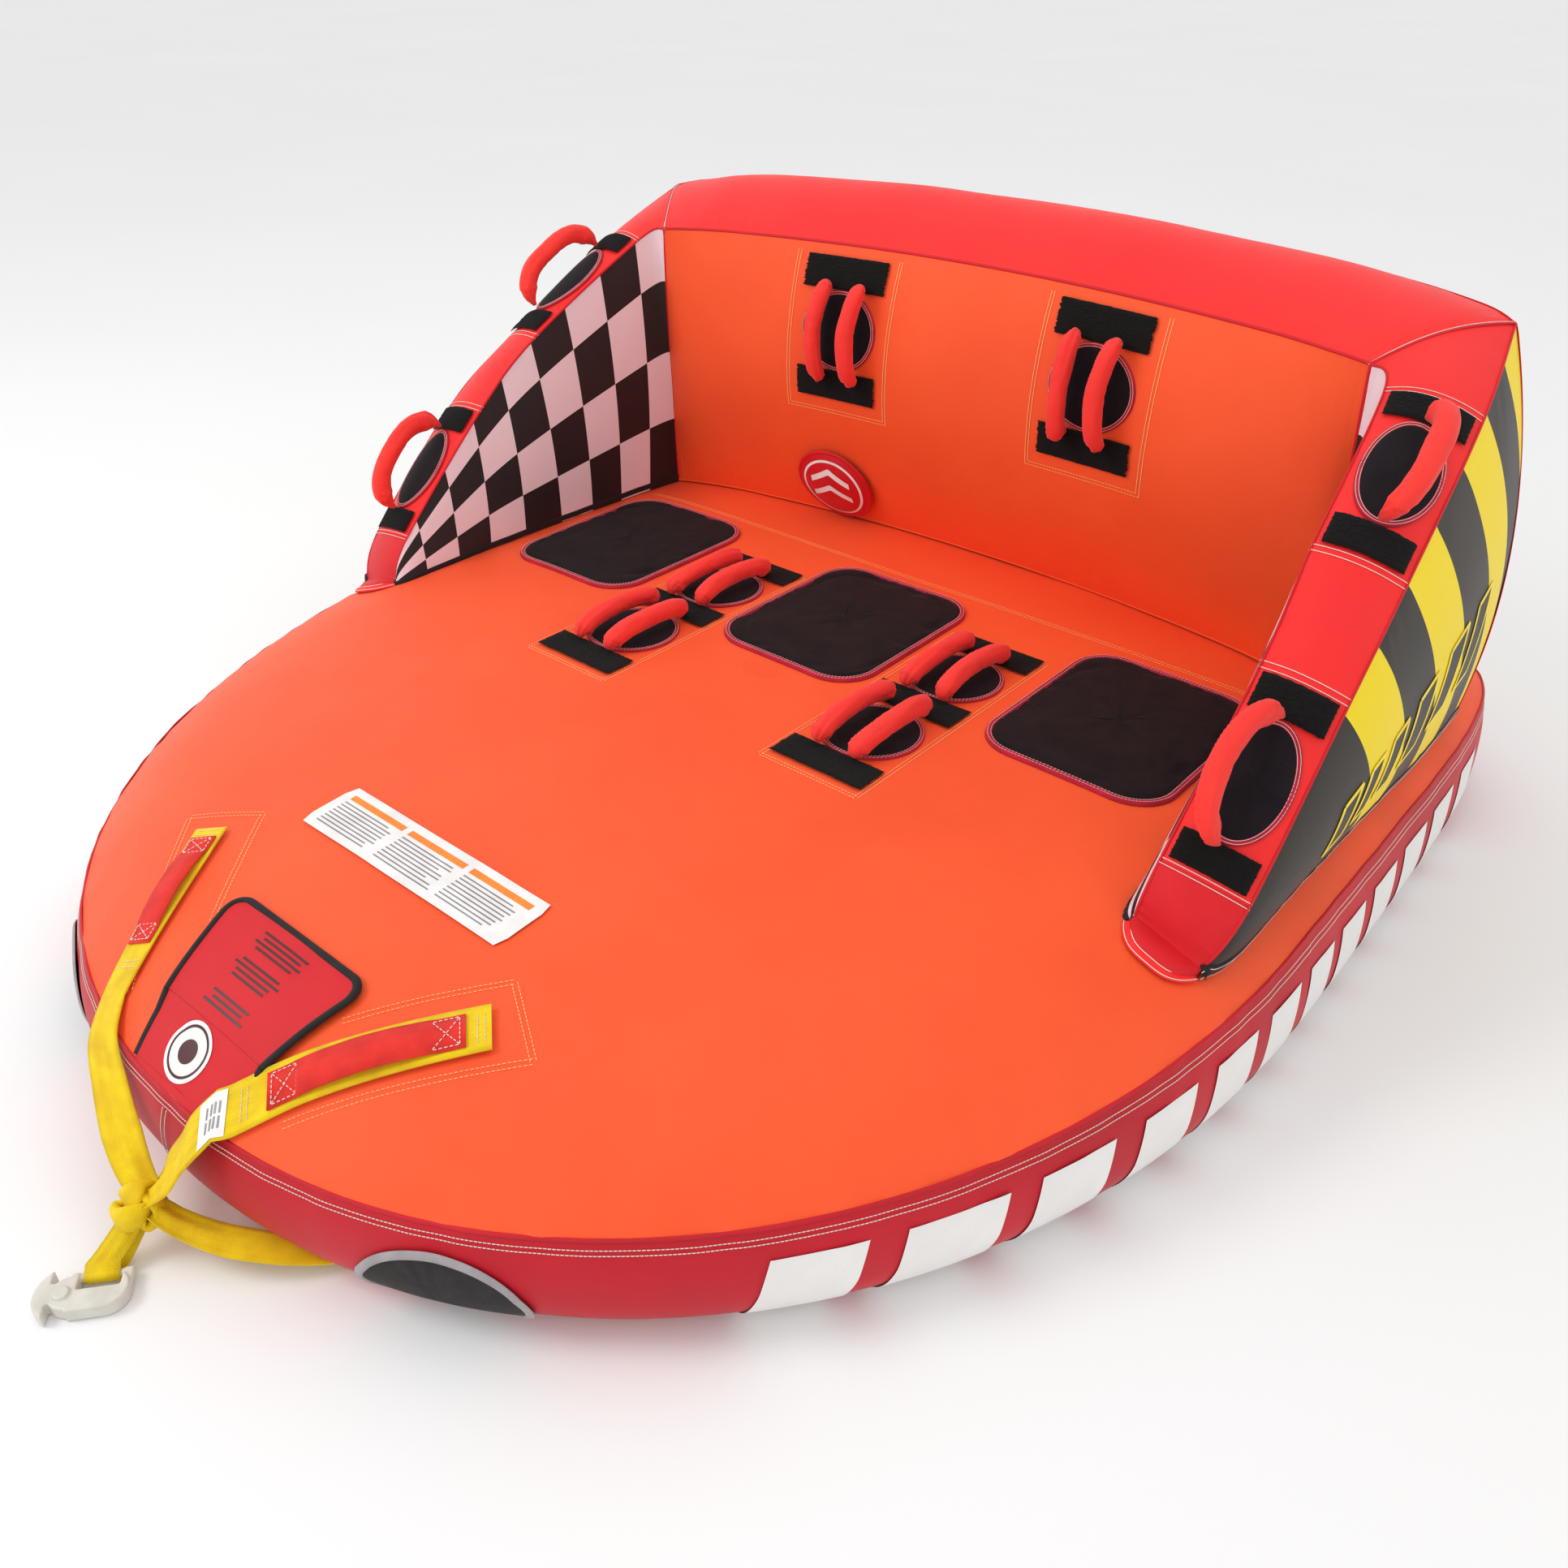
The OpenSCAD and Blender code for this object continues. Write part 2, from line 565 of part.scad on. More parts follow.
module hook_outline() {
    difference() {
        union() {
            translate([30, 4]) circle(r = 30, $fn = 48);
            translate([30, -26]) square([46, 60]);
            translate([76, 4]) circle(r = 26, $fn = 48);
            translate([76, -14]) square([32, 32]);
            intersection() {
                translate([hook_len - 44, 2]) circle(r = 44, $fn = 64);
                translate([hook_len - 20, -42]) square([22, 88]);
            }
        }
        translate([12, -36]) square([56, 24]);
    }
}

module tow_hook() {
    color("whitesmoke") in_hook_frame() {
        difference() {
            linear_extrude(height = hook_t) hook_outline();
            translate([12, -12, -1]) cube([56, 12, hook_t + 2]);
        }
        translate([4, hook_bar_y, hook_bar_z]) rotate([0, 90, 0]) cylinder(r = hook_bar_r, h = 72, $fn = 32);
        for (x = [0, 68]) translate([x, -30, 6]) cube([12, 40, 12]);
        translate([84, 6, hook_t - 2]) cylinder(r = 11, h = 7, $fn = 32);
    }
}

loop_clear = 0.6;
module tow_loop() {
    wrap_r = hook_bar_r + loop_clear;
    ring = [for (q = [-96:24:96]) [hook_bar_y + wrap_r * cos(q), hook_bar_z + wrap_r * sin(q)]];
    low = [[-84, 54], [-60, 26], [-42, 9]];
    high = [[-42, 27], [-60, 42], [-84, 64]];
    prof = concat(low, ring, high);
    path = [for (p = prof) [40 - 0.9 * max(0, -36 - p[0]), p[0], p[1]]];
    color("gold") in_hook_frame() ribbon(path, [for (p = path) [-1, 0, 0]], 46, 2.2);
}

// Flap that folds back over the hook; its front edge is sewn down under the straps
flap_half = 161;
flap_rear_y = -880;
flap_hinge_y = -1034;
flap_hinge_half = 122;
flap_front_y = -1108;
flap_front_half = 104;
flap_corner_r = 34;
flap_lift = 9;
function flap_loop(inset) =
    let(r = flap_corner_r, cx = flap_half - r - inset, cy = flap_rear_y - r - inset)
    let(hx = flap_hinge_half - inset, hy = flap_hinge_y + inset)
    concat(
        [for (q = [-10:20:90]) [cx + r * cos(q), cy + r * sin(q)]],
        [for (q = [90:20:190]) [-cx + r * cos(q), cy + r * sin(q)]],
        [[-hx, hy], [0, hy], [hx, hy]]
    );
module tow_flap() { color("crimson") patch("deck", flap_loop(14), flap_lift, flap_lift + piece_t); }
module flap_binding() {
    color("black") ring_patch("deck", flap_loop(0), flap_loop(13), flap_lift - 1, flap_lift + piece_t + 1);
}
module flap_root() {
    pts = [
        for (h = [1, 2.5]) for (i = [0:6]) for (j = [0:3])
            let(f = j / 3, hw = lerp(flap_front_half, flap_hinge_half, f))
            let(x = lerp(-hw, hw, i / 6), y = lerp(flap_front_y, flap_hinge_y - 3, f))
            [x, y, deck_z(x, y) + h]
    ];
    color("crimson") grid_solid(pts, 6, 3);
}

// ---------- valves, labels, drains, zipper ----------

valve_v = 0.15;
valve_u = 5.1;
module on_back(v, u) {
    p = surf_base("back", v, u);
    n = surf_normal("back", v, u);
    translate(p) rotate([0, acos(n[2]), atan2(n[1], n[0])]) children();
}

module valve_body() {
    rotate_extrude($fn = 48) difference() {
        union() {
            translate([0, 3]) square([32, 3]);
            translate([0, 3]) square([19, 9]);
        }
        translate([0, -1]) square([12, 20]);
    }
}
module valve_cap() {
    difference() {
        translate([0, 0, 13]) cylinder(r = 22, h = 6, $fn = 48);
        translate([-2, 14, 17.5]) cube([4, 10, 3]);
    }
    translate([0, 0, 6]) cylinder(r = 11, h = 7.5, $fn = 48);
}
module back_valve_body() { color("dimgray") on_back(valve_v, valve_u) valve_body(); }
module back_valve_cap() { color("dimgray") on_back(valve_v, valve_u) valve_cap(); }
deck_valve_at = [-300, 1195];
module at_deck_valve() {
    x = deck_valve_at[0];
    y = deck_valve_at[1];
    fall = (deck_z(x, y - 20) - deck_z(x, y + 20)) / 40;
    translate([x, y, deck_z(x, y) + 1]) rotate([-atan(fall), 0, 0]) children();
}
module deck_valve_body() { color("dimgray") at_deck_valve() valve_body(); }
module deck_valve_cap() { color("dimgray") at_deck_valve() valve_cap(); }

module valve_flap() {
    color("crimson") patch("back", oval(valve_v + 0.012, valve_u, 0.130, 0.30), 12, 15, 20);
}

// Oval drains low on the band, half of each on the visible side
drain_gap = 4;
module drain_patches() {
    color("black") for (s = sides) rail_solid([
        for (k = [0:3])
            let(f = [0.5, 1, 1, 0.5][k], h = k < 2 ? drain_gap : drain_gap + piece_t)
            [for (i = [0:19])
                    let(a = -90 + s * 21.5 + 5.4 * f * cos(18 * i), g = -16 + 38 * f * sin(18 * i))
                band_pt(a, g, -h)]
    ]);
}

label_half_x = 242;
label_y = [-720, -612];
module safety_label() {
    color("white")
        sheet("deck", -label_half_x, label_half_x, label_y[0], label_y[1], 4, 2, cover_gap, cover_gap + 1);
}
label_steps = [9, 10, 11];
module care_label() {
    path = [for (k = label_steps)
        let(d = unit(right_run[0][k + 1] - right_run[0][k - 1]))
        right_run[0][k] + unit(cross(right_run[1][k], d)) * (web_t + 1)];
    color("white") ribbon(path, [for (k = label_steps) right_run[1][k]], 64, 1);
}

zip_half = 560;
zip_ang = 4;
module zipper_tape() {
    n = 6;
    rows = [for (h = [-3, -5]) for (i = [0:n]) for (g = [zip_ang + 9, zip_ang - 9])
        let(x = lerp(-zip_half, zip_half, i / n), a = atan2(deck_rear_len, x))
        let(p = band_pt(a, g, h)) [x, p[1], p[2]]];
    color("black") grid_solid(rows, n, 1);
}
module zipper_slider() {
    color("silver") translate([-zip_half + 30, deck_cy + deck_rear_len + band_bulge + 7, band_mid_z + 8]) {
        translate([-9, 0, -6]) cube([18, 5, 12]);
        translate([-4, 5, -24]) cube([8, 2.5, 26]);
    }
}

deck_top_panel();
side_band();
bottom_panel();
deck_bladder();
back_front_panel();
back_top_strip();
back_rear_panel();
back_bladder();
wing_inner_right();
wing_strip_right();
wing_outer_right();
wing_bladder_right();
wing_inner_left();
wing_strip_left();
wing_outer_left();
wing_bladder_left();
seat_pads();
pad_bindings();
knuckle_guards();
guard_bindings();
webbing_bars();
deck_handle(1);  // deck_handle_1
deck_handle(2);  // deck_handle_2
deck_handle(3);  // deck_handle_3
deck_handle(4);  // deck_handle_4
deck_handle(5);  // deck_handle_5
deck_handle(6);  // deck_handle_6
deck_handle(7);  // deck_handle_7
deck_handle(8);  // deck_handle_8
back_handle(1);  // back_handle_1
back_handle(2);  // back_handle_2
back_handle(3);  // back_handle_3
back_handle(4);  // back_handle_4
wing_handle(1);  // wing_handle_1
wing_handle(2);  // wing_handle_2
wing_handle(3);  // wing_handle_3
wing_handle(4);  // wing_handle_4
tow_strap_right();
tow_strap_left();
tow_strap_bottom();
strap_sleeves();
tow_knot();
tow_loop();
tow_hook();
tow_flap();
flap_binding();
flap_root();
valve_flap();
back_valve_body();
back_valve_cap();
deck_valve_body();
deck_valve_cap();
drain_patches();
safety_label();
care_label();
zipper_tape();
zipper_slider();
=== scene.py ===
import bmesh
import bpy
import numpy as np
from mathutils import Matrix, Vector


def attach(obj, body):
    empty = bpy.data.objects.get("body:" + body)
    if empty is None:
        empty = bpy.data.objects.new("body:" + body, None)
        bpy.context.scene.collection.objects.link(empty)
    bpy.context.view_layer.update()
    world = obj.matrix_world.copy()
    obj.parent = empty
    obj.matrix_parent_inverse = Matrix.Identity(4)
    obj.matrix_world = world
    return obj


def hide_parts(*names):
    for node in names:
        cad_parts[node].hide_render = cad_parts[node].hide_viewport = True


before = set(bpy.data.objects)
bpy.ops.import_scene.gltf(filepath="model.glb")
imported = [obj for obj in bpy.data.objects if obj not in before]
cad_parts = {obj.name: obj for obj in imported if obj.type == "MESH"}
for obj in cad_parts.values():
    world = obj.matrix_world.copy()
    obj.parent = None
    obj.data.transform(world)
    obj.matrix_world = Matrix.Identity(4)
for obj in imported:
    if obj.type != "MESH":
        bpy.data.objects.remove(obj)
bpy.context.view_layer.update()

scene = bpy.context.scene

# ---------- camera ----------

CAM_AT = (1.4992, -1.5685, 1.5686)
CAM_AZ, CAM_EL = np.radians(40.43), np.radians(33.58)
camera = bpy.data.objects.new("camera", bpy.data.cameras.new("camera"))
scene.collection.objects.link(camera)
camera.location = CAM_AT
look = Vector((-np.sin(CAM_AZ) * np.cos(CAM_EL), np.cos(CAM_AZ) * np.cos(CAM_EL), -np.sin(CAM_EL)))
camera.rotation_euler = look.to_track_quat("-Z", "Y").to_euler()
camera.data.lens = 31.02
camera.data.sensor_width = 36
scene.camera = camera
scene.view_settings.view_transform = "Standard"

# ---------- sizes, in metres ----------

DECK_HALF_W, FRONT_LEN, REAR_LEN = 1.077, 1.277, 1.180
DECK_TOP, SEAM_SIDE, SEAM_DROP = 0.330, 0.237, 0.059
DECK_CY, FRONT_EXP, REAR_EXP, CROWN_EXP = 0.160, 2.12, 7, 8
BAND_BULGE, BAND_W, BAND_MID = 0.025, 0.107, 0.095
GAP, PIECE = 0.002, 0.003
STATION_X, RIDER_PITCH = 0.300, 0.620
GUARD_Y, GUARD_R, SEAT_Y = (0.078, 0.333), 0.092, 0.385
PAD_X, PAD_Y, PAD_R = 0.178, 0.218, 0.080
BAR_Y = ((-0.084, -0.016), (0.172, 0.242), (0.424, 0.492))
BAR_X = 0.098
GRIP_R, FOOT_H = 0.018, 0.0145
DECK_PAIR = 0.040
STRAP_LIFT, WEB_T = 0.006, 0.003
HOOK_REAR, HOOK_TURN = np.array([0.101, -1.272, 0.0]), np.radians(-130)

# Stations of the wings and backrest: inner base xy, inner top xyz, outer top xyz, outer base xy,
# three bulges, then the outward angle and the top's tilt in degrees
WING_ROWS = np.array([
    [885, -75, 892, -66, 318, 1005, -66, 277, 1000, -78, 2, 6, 4, 0, 45],
    [868, -28, 895, -18, 394, 1030, -2, 366, 1020, -10, 4, 10, 12, 0, 45],
    [858, 200, 896, 222, 617, 1028, 236, 592, 1025, 215, 12, 14, 40, 0, 42],
    [848, 395, 879, 380, 743, 1017, 413, 708, 1030, 420, 16, 16, 50, 0, 36],
    [829, 660, 842, 672, 904, 989, 710, 877, 1038, 700, 16, 18, 55, 0, 22],
    [819, 743, 800, 712, 928, 949, 915, 976, 1036, 930, 4, 20, 50, 30, 8],
], float)
BACK_HALF = np.array([
    [819, 743, 800, 712, 928, 949, 915, 976, 1036, 930, 4, 20, 50, 30, 8],
    [750, 760, 735, 722, 934, 880, 950, 990, 940, 1058, 34, 34, 55, 60, 2],
    [600, 790, 600, 742, 942, 690, 972, 1010, 720, 1100, 62, 46, 60, 82, 0],
    [300, 828, 300, 769, 951, 330, 988, 1028, 340, 1124, 76, 50, 60, 88, 0],
], float)
BACK_MID = np.array([[0, 840, 0, 778, 954, 0, 994, 1034, 0, 1130, 80, 50, 60, 90, 0]], float)
FLIP = BACK_HALF[::-1].copy()
FLIP[:, [0, 2, 5, 8]] *= -1
FLIP[:, 13] = 180 - FLIP[:, 13]
BACK_ROWS = np.concatenate([BACK_HALF, BACK_MID, FLIP])
for table in (WING_ROWS, BACK_ROWS):
    table[:, :13] /= 1000
    table[:, 13:] = np.radians(table[:, 13:])
ROWS = {"wing": WING_ROWS, "back": BACK_ROWS}
INWARD = {"wing": np.array([-1.0, 0, 0]), "back": np.array([0, -1.0, 0])}
WING_LAST, BACK_LAST = 5, 8
BACK_STATIONS, BACK_GUARD_V = (5, 3), 0.731
BACK_BARS_V, BACK_U_HALF = ((0.50, 0.60), (0.862, 0.962)), 0.327
BACK_GUARD = (0.128, 0.30)
STRIP_BARS_U = ((1.04, 1.22), (1.78, 1.96), (3.04, 3.22), (3.78, 3.96))
STRIP_GUARD_U, STRIP_GUARD = (1.5, 3.5), (0.40, 0.27)
VALVE_V, VALVE_U = 0.15, 5.1


# ---------- surfaces ----------

def hashed(i, seed):
    n = i[..., 0] * 374761393 + i[..., 1] * 668265263 + i[..., 2] * 1274126177 + seed * 974711
    n = (n ^ (n >> 13)) * 1274126177
    return ((n ^ (n >> 16)) & 0xFFFF) / 65535.0


def bumps(x, y, z=0.0, seed=0):
    """Smooth noise from -1 to 1."""
    p = np.stack(np.broadcast_arrays(np.asarray(x, float), y, z), -1)
    i = np.floor(p).astype(np.int64)
    w = (p - i) ** 2 * (3 - 2 * (p - i))
    out = 0
    for dx in (0, 1):
        for dy in (0, 1):
            for dz in (0, 1):
                k = (np.where(dx, w[..., 0], 1 - w[..., 0]) * np.where(dy, w[..., 1], 1 - w[..., 1])
                     * np.where(dz, w[..., 2], 1 - w[..., 2]))
                out = out + k * hashed(i + np.array([dx, dy, dz]), seed)
    return out * 2 - 1


def rim_dist(c, s):
    n = np.where(s < 0, FRONT_EXP, REAR_EXP)
    reach = np.where(s < 0, FRONT_LEN, REAR_LEN)
    return ((np.abs(c) / DECK_HALF_W) ** n + (np.abs(s) / reach) ** n) ** (-1 / n)


def seam_z(s):
    return SEAM_SIDE - SEAM_DROP * np.maximum(0, -s)


def deck_polar(x, y):
    q = np.maximum(np.hypot(x, y - DECK_CY), 1e-9)
    c, s = x / q, (y - DECK_CY) / q
    return q, c, s, np.minimum(1, q / rim_dist(c, s))


def deck_z(x, y):
    q, c, s, f = deck_polar(x, y)
    return DECK_TOP - (DECK_TOP - seam_z(s)) * f ** CROWN_EXP


def rim_xy(a, frac, out=0.0):
    d = rim_dist(np.cos(a), np.sin(a)) * frac + out
    return d * np.cos(a), DECK_CY + d * np.sin(a)


def seam_pucker(a, dist, seed=3):
    """Gathers that run square to the rim's seam and die away from it."""
    run = a * 1.15
    wave = bumps(run / 0.030, 0.0, seed=seed) + 0.6 * bumps(run / 0.075, 0.0, seed=seed + 1)
    return 0.0016 * wave * np.exp(-dist / 0.055)


def deck_wrinkle(x, y):
    q, c, s, f = deck_polar(x, y)
    dist = rim_dist(c, s) - q
    soft = 0.0012 * bumps(x / 0.31, y / 0.24, seed=11) + 0.0005 * bumps(x / 0.09, y / 0.12, seed=12)
    return soft * np.minimum(1, dist / 0.2) + seam_pucker(np.arctan2(s, c), dist)


def band_pt(a, g, h=0.0):
    """Band point: a round the deck, g from 40 degrees at the seam to -90 on the floor."""
    a, g, h = np.broadcast_arrays(np.asarray(a, float), g, h)
    zs = seam_z(np.sin(a))
    half = np.where(g > 0, (zs - BAND_MID) / np.sin(np.radians(40)), BAND_MID)
    dist = (np.radians(40) - g) * 0.11
    soft = (0.0012 * bumps(a / 0.17, g / 0.9, seed=21) * np.clip(dist / 0.05, 0, 1)
            * np.cos(np.minimum(0, g) * 0.9))
    grow = h + soft + seam_pucker(a, dist) * (g > -1.2)
    x, y = rim_xy(a, 1, BAND_BULGE - BAND_W + (BAND_W + grow) * np.cos(g))
    z = BAND_MID + (half + np.where(g < -1.2, 0.0, grow)) * np.sin(g)
    return np.stack([x, y, z], -1)


def row_at(rows, u):
    n = len(rows) - 1
    k = np.clip(np.floor(u).astype(int), 0, n - 1)
    t = (u - k)[..., None]
    p, q, r, s = rows[np.maximum(k - 1, 0)], rows[k], rows[k + 1], rows[np.minimum(k + 2, n)]
    return 0.5 * (2 * q + (r - p) * t + (2 * p - 5 * q + 4 * r - s) * t * t
                  + (3 * q - p - 3 * r + s) * t ** 3)


def skin_pt(kind, v, u):
    v, u = np.broadcast_arrays(np.asarray(v, float), u)
    s = row_at(ROWS[kind], u)
    base = lambda i: np.stack([s[..., i], s[..., i + 1], deck_z(s[..., i], s[..., i + 1]) + GAP], -1)
    ib, it, ot, ob = base(0), s[..., 2:5], s[..., 5:8], base(8)
    zero, tilt, out = np.zeros(v.shape), s[..., 14], s[..., 13]
    t = v[..., None]
    hump = lambda i, k: 4 * s[..., i, None] * k * (1 - k)
    inner = ib + (it - ib) * t + hump(10, t) * INWARD[kind]
    top = it + (ot - it) * (t - 1) + hump(11, t - 1) * np.stack([zero, -np.sin(tilt), np.cos(tilt)], -1)
    outer = ot + (ob - ot) * (t - 2) + hump(12, t - 2) * np.stack([np.cos(out), np.sin(out), zero], -1)
    return np.where(t < 1, inner, np.where(t < 2, top, outer))


def unit(v):
    return v / np.maximum(np.linalg.norm(v, axis=-1, keepdims=True), 1e-12)


def running(points):
    """Distance along a line from its first point to each point."""
    return np.concatenate([[0], np.cumsum(np.linalg.norm(np.diff(points, axis=0), axis=-1))])


def base_pt(kind, a, b):
    if kind == "deck":
        a, b = np.broadcast_arrays(np.asarray(a, float), b)
        return np.stack([a, b, deck_z(a, b)], -1)
    return skin_pt(kind, a, b)


def normal_at(kind, a, b):
    a, b = np.broadcast_arrays(np.asarray(a, float), b)
    if kind == "deck":
        return np.broadcast_to(np.array([0.0, 0, 1]), a.shape + (3,))
    e = 0.02
    da = base_pt(kind, a + e, b) - base_pt(kind, np.maximum(a - e, 0), b)
    db = base_pt(kind, a, b + e) - base_pt(kind, a, b - e)
    return unit(np.cross(da, db))


def skin_wrinkle(kind, v, u):
    """Gathers beside the sewn edges of a face, and soft hollows in its middle."""
    edge = np.abs(v - np.round(v))
    scale = 0.25 if kind == "wing" else 0.30
    pucker = (bumps(u * scale / 0.020, np.round(v), seed=31)
              + 0.7 * bumps(u * scale / 0.055, np.round(v), seed=32))
    soft = bumps(v * 2.2, u * scale / 0.16, seed=33) * np.clip(edge / 0.2, 0, 1)
    return 0.0011 * pucker * np.exp(-edge / 0.10) * np.clip(edge / 0.02, 0, 1) + 0.0016 * soft


def surf(kind, a, b, h=0.0, side=1):
    """Point on the finished cover, h above it; side -1 is the left wing."""
    a, b = np.broadcast_arrays(np.asarray(a, float), b)
    lift = h + (deck_wrinkle(a, b) if kind == "deck" else skin_wrinkle(kind, a, b))
    p = base_pt(kind, a, b) + normal_at(kind, a, b) * np.asarray(lift)[..., None]
    return p * np.array([side, 1, 1])


# ---------- mesh builder ----------

class Shape:
    """Collects faces, then makes one object."""

    def __init__(self):
        self.v, self.f, self.uv, self.m, self.n = [], [], [], [], 0

    def add(self, pts, faces, corner_uv, mat=0):
        self.v.append(pts)
        self.f.append(np.asarray(faces) + self.n)
        self.uv.append(corner_uv)
        self.m.append(np.full(len(faces), mat))
        self.n += len(pts)

    def grid(self, P, UV=None, wrap=False, mat=0, flip=False):
        """P is rows by columns; wrap joins the last column to the first."""
        nu, nv = P.shape[:2]
        cols = nv if wrap else nv - 1
        if UV is None:
            UV = metric_uv(P, wrap)
        i, j = np.meshgrid(np.arange(nu - 1), np.arange(cols), indexing="ij")
        corner = [(i, j), (i + 1, j), (i + 1, j + 1), (i, j + 1)]
        if flip:
            corner = corner[::-1]
        faces = np.stack([(c[0] * nv + c[1] % nv).ravel() for c in corner], -1)
        uv = np.stack([UV[c[0], c[1]].reshape(-1, 2) for c in corner], 1)
        self.add(P.reshape(-1, 3), faces, uv, mat)

    def fan(self, ring, centre, mat=0, flip=False):
        n = len(ring)
        k = np.arange(n)
        faces = np.stack([k, (k + 1) % n, np.full(n, n), np.full(n, n)], -1)[:, :3]
        pts = np.vstack([ring, centre])
        flat = pts[:, :2] - centre[:2]
        faces = faces[:, ::-1] if flip else faces
        quad = np.concatenate([faces, faces[:, 2:]], 1)
        self.add(pts, quad, flat[quad], mat)

    def make(self, name, mats, body, replaces=(), slot=None, smooth=True):
        verts = np.concatenate(self.v)
        faces = np.concatenate(self.f)
        uv = np.concatenate(self.uv)
        keep = [f[:3] if f[2] == f[3] else f for f in faces.tolist()]
        mesh = bpy.data.meshes.new(name)
        mesh.from_pydata(verts.tolist(), [], keep)
        flat = np.concatenate([c[:len(f)] for c, f in zip(uv, keep)])
        mesh.uv_layers.new(name="UVMap").data.foreach_set("uv", flat.ravel())
        mesh.polygons.foreach_set("material_index", np.concatenate(self.m).astype(np.int32))
        mesh.polygons.foreach_set("use_smooth", np.full(len(keep), smooth))
        for m in mats:
            mesh.materials.append(m)
        mesh.update()
        return place(bpy.data.objects.new(name, mesh), body, replaces, slot)


def place(obj, body, replaces=(), slot=None):
    if obj.name not in scene.collection.all_objects:
        scene.collection.objects.link(obj)
    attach(obj, body)
    if replaces:
        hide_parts(*replaces)
    return obj


def metric_uv(P, wrap=False):
    """UV in metres, measured along the grid's middle row and middle column."""
    nu, nv = P.shape[:2]
    Q = np.concatenate([P, P[:, :1]], 1) if wrap else P
    V, U = np.meshgrid(running(Q[nu // 2]), running(Q[:, nv // 2]))
    return np.stack([V, U], -1)


def sweep(shape, path, side, up, section, mat=0, caps=True):
    """Carries a closed section of (side, up) offsets along a path."""
    section = np.asarray(section)
    if section.ndim == 2:
        section = np.broadcast_to(section, (len(path),) + section.shape)
    P = path[:, None] + side[:, None] * section[..., :1] + up[:, None] * section[..., 1:]
    shape.grid(P, wrap=True, mat=mat)
    if caps:
        shape.fan(P[0], P[0].mean(0), mat)
        shape.fan(P[-1], P[-1].mean(0), mat, flip=True)


def half_oval(w, h, n=8):
    q = np.linspace(0, np.pi, n)
    top = np.stack([w / 2 * np.cos(q), h * np.sin(q)], -1)
    return np.concatenate([top, [[-w / 2, -h * 0.2], [w / 2, -h * 0.2]]])


def flat_bar(w, t, r=0.0006):
    x = w / 2
    return np.array([[x, r], [x - r, t], [-x + r, t], [-x, r], [-x, 0], [x, 0]])


def path_frame(path, normal):
    """Side and up directions along a path."""
    ahead = unit(np.gradient(path, axis=0))
    side = unit(np.cross(ahead, normal))
    return side, unit(np.cross(side, ahead))


def framed(at, h, closed=False):
    """Points h over a surface line, with their side and up; at gives the line at a height."""
    pts = at(h)
    side, up = path_frame(pts, unit(at(h + 0.01) - pts))
    if closed:
        side[-1], up[-1] = side[0], up[0]
    return pts, side, up


def resample(pts, step):
    run = running(pts)
    at = np.linspace(0, run[-1], max(2, int(round(run[-1] / step)) + 1))
    return np.stack([np.interp(at, run, pts[:, k]) for k in range(pts.shape[1])], -1)


BOX = np.array([[sx, sy, sz] for sx in (-1, 1) for sy in (-1, 1) for sz in (0, 1)], float)
BOX_FACES = np.array([[0, 1, 3, 2], [4, 6, 7, 5], [0, 4, 5, 1], [2, 3, 7, 6], [1, 5, 7, 3], [0, 2, 6, 4]])
STITCH, STITCH_GAP, THREAD = 0.0048, 0.0022, 0.0012


def stitches(shape, pts, normals, mat=0, thread=THREAD):
    """Raised thread dashes along a line on a surface."""
    both = resample(np.concatenate([pts, normals], -1), STITCH + STITCH_GAP)
    mid, nor = (both[1:, :3] + both[:-1, :3]) / 2, unit(both[1:, 3:] + both[:-1, 3:])
    ahead = unit(both[1:, :3] - both[:-1, :3])
    side = unit(np.cross(ahead, nor))
    half = STITCH / 2
    offs = (ahead[:, None] * BOX[:, 0, None] * half + side[:, None] * BOX[:, 1, None] * thread / 2
            + nor[:, None] * BOX[:, 2, None] * thread * 0.6)
    offs[:, [1, 3, 5, 7]] -= ahead[:, None] * BOX[[1, 3, 5, 7], 0, None] * half * 0.35
    add_boxes(shape, mid[:, None] + offs, mat)


def add_boxes(shape, corners, mat=0):
    """Closed boxes, one for each row of eight corners."""
    faces = (np.arange(len(corners))[:, None, None] * 8 + BOX_FACES).reshape(-1, 4)
    shape.add(corners.reshape(-1, 3), faces, np.zeros((len(faces), 4, 2)), mat)


def ring_of(loop_fn, n):
    return loop_fn(np.linspace(0, 1, n, endpoint=False))


def stadium(ca, cb, ha, hb, r):
    """Rounded rectangle as a function of 0..1 round it."""
    q = np.radians(np.linspace(0, 90, 9))
    pts = np.concatenate([
        np.stack([ca + sx * (ha - r) + r * np.cos(q + t), cb + sy * (hb - r) + r * np.sin(q + t)], -1)
        for sx, sy, t in ((1, 1, 0), (-1, 1, np.pi / 2), (-1, -1, np.pi), (1, -1, 1.5 * np.pi))])
    closed = np.vstack([pts, pts[:1]])
    run = running(closed)
    return lambda t: np.stack([np.interp(np.asarray(t) % 1 * run[-1], run, closed[:, k]) for k in (0, 1)], -1)


def ellipse(ca, cb, ra, rb):
    def at(t):
        q = 2 * np.pi * np.asarray(t)
        return np.stack([ca + ra * np.cos(q), cb + rb * np.sin(q)], -1)
    return at


def scaled(loop, f):
    c = loop.mean(0)
    return c + (loop - c) * f


# ---------- materials ----------

def srgb(text):
    c = np.array([int(text[k:k + 2], 16) for k in (0, 2, 4)]) / 255
    lin = np.where(c <= 0.04045, c / 12.92, ((c + 0.055) / 1.055) ** 2.4)
    return (*lin, 1.0)


